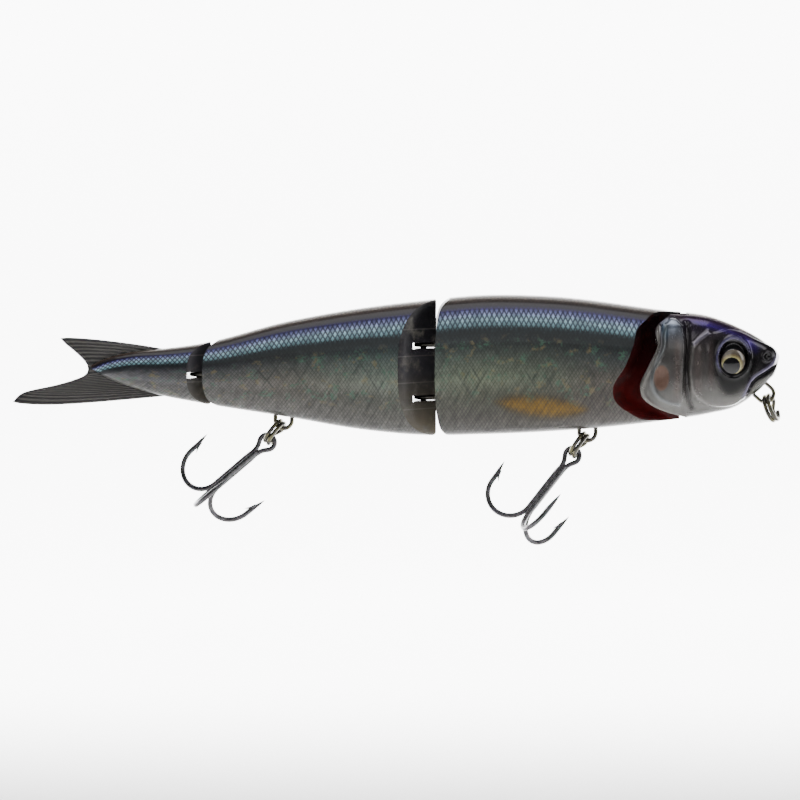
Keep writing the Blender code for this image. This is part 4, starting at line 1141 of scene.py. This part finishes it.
def split_ring(name, hole, hole_radius, slope, twist, body, node_name):
    along = slope_vector(slope)
    centre = Vector(hole) + along * (RING_RADIUS + seat_gap(hole_radius))
    normal = Matrix.Rotation(math.radians(twist), 3, along) @ along.cross(Vector((0, 1, 0))).normalized()
    beside = normal.cross(along)
    route = []
    for step in range(177):
        turn = 0.09 + 1.82 * step / 176
        rise = min(max((turn - 0.93) / 0.14, 0.0), 1.0)
        level = RING_PITCH * (rise * rise * (3.0 - 2.0 * rise) - 0.5)
        angle = math.tau * turn + 0.5 * math.pi
        round_ring = along * math.cos(angle) + beside * math.sin(angle)
        route.append(centre + RING_RADIUS * round_ring + level * normal)
    fit_wire(name, route, 0.5 * RING_WIRE, RING_STEEL, body, node_name)
    return centre, along


split_ring("nose_ring", (0, 0, 0), 1.66, 113.0, 20.0, "nose_ring", "nose_split_ring")
front_ring = split_ring("front_ring", FRONT_LOOP, 1.6, 57.0, 16.0, "front_ring", "front_split_ring")
rear_ring = split_ring("rear_ring", REAR_LOOP, 1.6, 53.0, 12.0, "rear_ring", "rear_split_ring")
print("split rings hung")

# %% [markdown]
# ## Treble hooks
# A treble is three bent wires brazed side by side. One of them runs on into the eye. Each
# point is ground to a long taper and a barb is cut up behind it. The wires are laid side by side
# as closed tubes in one mesh, so the grooves between them show along the shank.

# %% Treble hooks
HOOK_WIRE, HOOK_EYE, HOOK_DEPTH, HOOK_REACH, HOOK_POINT, BUNDLE = 1.3, 2.0, 23.7, 13.4, 11.8, 0.68


def hook_arm(angle):
    """Route and radii of one arm, and the route of its barb, in the hook's own axes."""
    bend = 0.5 * (HOOK_REACH - 0.6 - BUNDLE)
    bottom = HOOK_DEPTH - bend
    flat = [(BUNDLE, 3.6), (BUNDLE, 6.0), (BUNDLE, 9.0), (BUNDLE, 12.0), (BUNDLE, 0.5 * (12.0 + bottom))]
    turns = [math.pi * step / 40 for step in range(41)]
    flat += [(BUNDLE + bend * (1.0 - math.cos(turn)), bottom + bend * math.sin(turn)) for turn in turns]
    point_foot = (HOOK_REACH - 0.6 + 0.12, HOOK_POINT + 4.0)
    flat += [(HOOK_REACH - 0.6 + 0.05, HOOK_POINT + 4.6), point_foot, (HOOK_REACH - 0.25, HOOK_POINT + 2.2),
             (HOOK_REACH - 0.1, HOOK_POINT + 1.0), (HOOK_REACH, HOOK_POINT)]
    radii = [0.46] + [0.5 * HOOK_WIRE] * (len(flat) - 5) + [0.58, 0.42, 0.24, 0.03]
    barb = [(HOOK_REACH - 0.62, HOOK_POINT + 2.6), (HOOK_REACH - 1.15, HOOK_POINT + 4.0),
            (HOOK_REACH - 2.1, HOOK_POINT + 5.3)]
    turned = lambda pairs: [Vector((u * math.cos(angle), u * math.sin(angle), v)) for u, v in pairs]
    return turned(flat), radii, turned(barb)


def teardrop():
    """The eye of the hook: round at the top and drawn together to the shank below."""
    route = [(HOOK_EYE * math.sin(a), -HOOK_EYE * math.cos(a)) for a in np.linspace(-2.15, 2.15, 44)]
    tail = [(1.02, 2.15), (0.66, 3.1), (0.50, 4.2), (0.46, 6.5)]
    route = [(-u, v) for u, v in tail[::-1]] + route + tail
    return [Vector((u, 0.0, v)) for u, v in route]


def treble(name, ring, slope, roll, lean, body, node_name):
    ring_centre, ring_along = ring
    eye = ring_centre + ring_along * (RING_RADIUS + seat_gap(HOOK_EYE - 0.5 * HOOK_WIRE))
    level_down, left = slope_vector(slope), Vector((0.0, 1.0, 0.0))
    tip = math.radians(lean)
    across = level_down.cross(left)
    down = level_down * math.cos(tip) + left * math.sin(tip)
    beside = left * math.cos(tip) - level_down * math.sin(tip)
    turn = Matrix.Rotation(math.radians(roll), 3, down) @ Matrix((across, beside, down)).transposed()
    solids = [rounded_wire(teardrop(), 0.5 * HOOK_WIRE, 20)]
    for arm in range(3):
        route, radii, barb = hook_arm(math.tau * arm / 3 - 0.5 * math.pi)
        solids.append(wire(route, radii, 20))
        solids.append(wire(barb, [0.40, 0.30, 0.04], 12))
    solids.append(wire([(0, 0, 3.4), (0, 0, 3.9), (0, 0, 12.0), (0, 0, 12.6)], [0.15, 0.38, 0.38, 0.12], 12))
    points, faces = [], []
    for more_points, more_faces in solids:
        start = len(points)
        points += [eye + turn @ Vector(point) for point in more_points]
        faces += [tuple(corner + start for corner in face) for face in more_faces]
    made = soften(new_piece(name, points, faces, (HOOK_NICKEL,)), 50.0)
    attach(made, body)
    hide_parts(node_name)
    print(made.name, "faces", len(made.data.polygons))


treble("front_treble", front_ring, 50.7, -9.0, -12.0, "front_hook", "front_treble_hook")
treble("rear_treble", rear_ring, 40.6, 0.0, 3.0, "rear_hook", "rear_treble_hook")

# %% [markdown]
# ## Eyes
# The eyes are domed resin over printed foil: a black pupil low in the eye with a pale yellow
# rim, a brown iris above, and a dark edge. The pattern is painted on the dome by distance from
# the pupil and from the middle, and the clear coat above it gives the glint.

# %% Domed eyes
def eye_place(side):
    ahead, behind = half_width(EYE_X + 2.0, EYE_Z), half_width(EYE_X - 2.0, EYE_Z)
    outward = Vector((behind - ahead, side * 4.0, 0.0)).normalized()
    return Vector((EYE_X, side * (half_width(EYE_X, EYE_Z) - 0.15), EYE_Z)), outward


def eye_resin():
    made = new_finish("eye_resin", roughness=0.12, metallic=0.1, coat=1.0, coat_roughness=0.02)
    x, y, z = place_mm(made)
    fleck = grain(made, x, y, z, scale=2.2, detail=3.0, roughness=0.6)
    tone = maths(made, "MULTIPLY_ADD", maths(made, "SUBTRACT", fleck, 0.5), 0.5, 1.0)
    shade(made, "Base Color", mixed(made, 1.0, painted(made, "paint"), node(
        made, "ShaderNodeCombineColor", tone, tone, tone).outputs[0], "MULTIPLY"))
    shade(made, "Roughness", maths(made, "MULTIPLY_ADD", fleck, 0.08, 0.08))
    return made


EYE_RESIN = eye_resin()
for label, side in (("left", 1.0), ("right", -1.0)):
    centre, outward = eye_place(side)
    sides, rings = 96, 44
    up = Vector((0.0, 0.0, 1.0))
    across = up.cross(outward).normalized()
    up = outward.cross(across)
    points = []
    dome = [(1.05 * math.sqrt(1.0 - t * t), EYE_RADIUS * t) for t in np.linspace(0.995, 0.02, rings).tolist()]
    for height, radius in [(-1.4, EYE_RADIUS), (-0.2, EYE_RADIUS)] + dome:
        for step in range(sides):
            angle = math.tau * step / sides
            rim = across * math.cos(angle) + up * math.sin(angle)
            points.append(centre + outward * height + radius * rim)
    eye = new_piece(f"domed_eye_{label}", points, loft_faces(rings + 2, sides), (EYE_RESIN,))
    seen = spots(eye)
    from_pupil = np.hypot(seen[:, 0] + 9.9, (seen[:, 2] - 7.85) * 1.02)
    from_middle = np.hypot(seen[:, 0] - EYE_X, seen[:, 2] - EYE_Z)
    colours = read_bands([
        (0.0, "060607"), (2.0, "08080a"), (2.2, "24210f"), (2.4, "c9c08a"), (2.75, "8a7c56"),
        (3.3, "5f574a"), (4.2, "7c7468"), (5.2, "514b44")], from_pupil)
    edge = step_up(from_middle, EYE_RADIUS - 0.42, EYE_RADIUS - 0.12)[:, None]
    colours = colours * (1.0 - edge) + np.array(hue("121013")) * edge
    store(eye, "paint", np.column_stack([colours, np.ones(len(colours))]), "FLOAT_COLOR")
    soften(eye, 45.0)
    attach(eye, "head")
    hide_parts(f"eye_{label}")
print("eyes set")

# %% [markdown]
# ## Pieces that stay as the frame made them
# The ballast and the pin through the fin are hidden inside, and are plain turned or cast steel.
# They keep their frame meshes and get a steel finish.

# %% Ballast finish
for name in ("head_ballast_ball", "front_ballast_slug", "rear_ballast_slug", "fin_pin"):
    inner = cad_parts[name]
    inner.data.materials.clear()
    inner.data.materials.append(BALLAST_STEEL if "ballast" in name else HINGE_STEEL)
print("ballast finished")

# %% [markdown]
# ## Studio
# A lure is shown hanging in the air over white paper, so the floor lies well below it and
# sweeps up behind, where it glows. One broad lamp above gives the long light on the back and one
# in front lights the flank. Two dimmer ones, ahead of the nose and behind, draw the edges of the
# foil and the wire.

# %% Paper sweep
def paper():
    made = new_finish("white_paper", roughness=0.9)
    shader = made.node_tree.nodes["Principled BSDF"]
    shader.inputs["Base Color"].default_value = (0.93, 0.93, 0.93, 1.0)
    shader.inputs["Emission Color"].default_value = (1.0, 1.0, 1.0, 1.0)
    x, y, z = place_mm(made)
    glow = maths(made, "MULTIPLY", fade(made, y, 60.0, 320.0), fade(made, z, 430.0, 270.0))
    shade(made, "Emission Strength", maths(made, "MULTIPLY_ADD", glow, 7.5, 0.30))
    return made


def paper_sweep():
    line = [(-900.0, -140.0), (500.0, -140.0)]
    line += [(500.0 + 300.0 * math.sin(a), 160.0 - 300.0 * math.cos(a)) for a in np.linspace(0.1, 1.5, 14)]
    line += [(800.0, 1400.0)]
    points = [(x, y, z) for y, z in line for x in (-1500.0, 1300.0)]
    faces = [(2 * i, 2 * i + 1, 2 * i + 3, 2 * i + 2) for i in range(len(line) - 1)]
    sweep = new_piece("paper_sweep", points, faces, (paper(),))
    sweep.data.shade_smooth()
    sweep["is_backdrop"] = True


paper_sweep()


# %% Lamps and camera
def lamp(name, place, aim, width, height, watts):
    light = bpy.data.lights.new(name, "AREA")
    light.shape = "RECTANGLE"
    light.size, light.size_y, light.energy = width * MM, height * MM, watts
    holder = bpy.data.objects.new(name, light)
    holder.location = Vector(place) * MM
    holder.rotation_euler = (Vector(aim) - Vector(place)).to_track_quat("-Z", "Y").to_euler()
    bpy.context.scene.collection.objects.link(holder)


MIDDLE = Vector((-95.4, 0.0, -1.6))
lamp("long_top_lamp", (-95.0, -60.0, 420.0), (-95.0, 0.0, 0.0), 560.0, 220.0, 0.85)
lamp("front_lamp", (-60.0, -700.0, 330.0), MIDDLE, 700.0, 460.0, 0.95)
lamp("nose_lamp", (330.0, -160.0, 150.0), MIDDLE, 120.0, 300.0, 0.35)
lamp("back_lamp", (-95.0, 380.0, 380.0), MIDDLE, 500.0, 200.0, 0.3)

sky = bpy.data.worlds.new("studio")
sky.use_nodes = True
sky.node_tree.nodes["Background"].inputs["Color"].default_value = (0.85, 0.86, 0.88, 1.0)
sky.node_tree.nodes["Background"].inputs["Strength"].default_value = 0.10
bpy.context.scene.world = sky

lens = bpy.data.cameras.new("camera")
lens.lens, lens.sensor_width = 110.0, 36.0
lens.clip_start, lens.clip_end = 0.01, 10.0
camera = bpy.data.objects.new("camera", lens)
tilt = math.radians(5.0)
far = 208.9 * 110.0 / 36.0
camera.location = (MIDDLE + Vector((0.0, -far * math.cos(tilt), far * math.sin(tilt)))) * MM
camera.rotation_euler = (math.radians(90.0) - tilt, 0.0, 0.0)
bpy.context.scene.collection.objects.link(camera)
bpy.context.scene.camera = camera
print("camera", round(far), "mm away")

# %% [markdown]
# ## Sizes
# Both boxes, of the frame and of the visual model, are printed. The visual model must
# stay within the box of the frame.

# %% Sizes
final_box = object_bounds()
for label, box in (("frame", frame_box), ("model", final_box)):
    print(label, [round(value / MM, 2) for corner in box for value in corner])
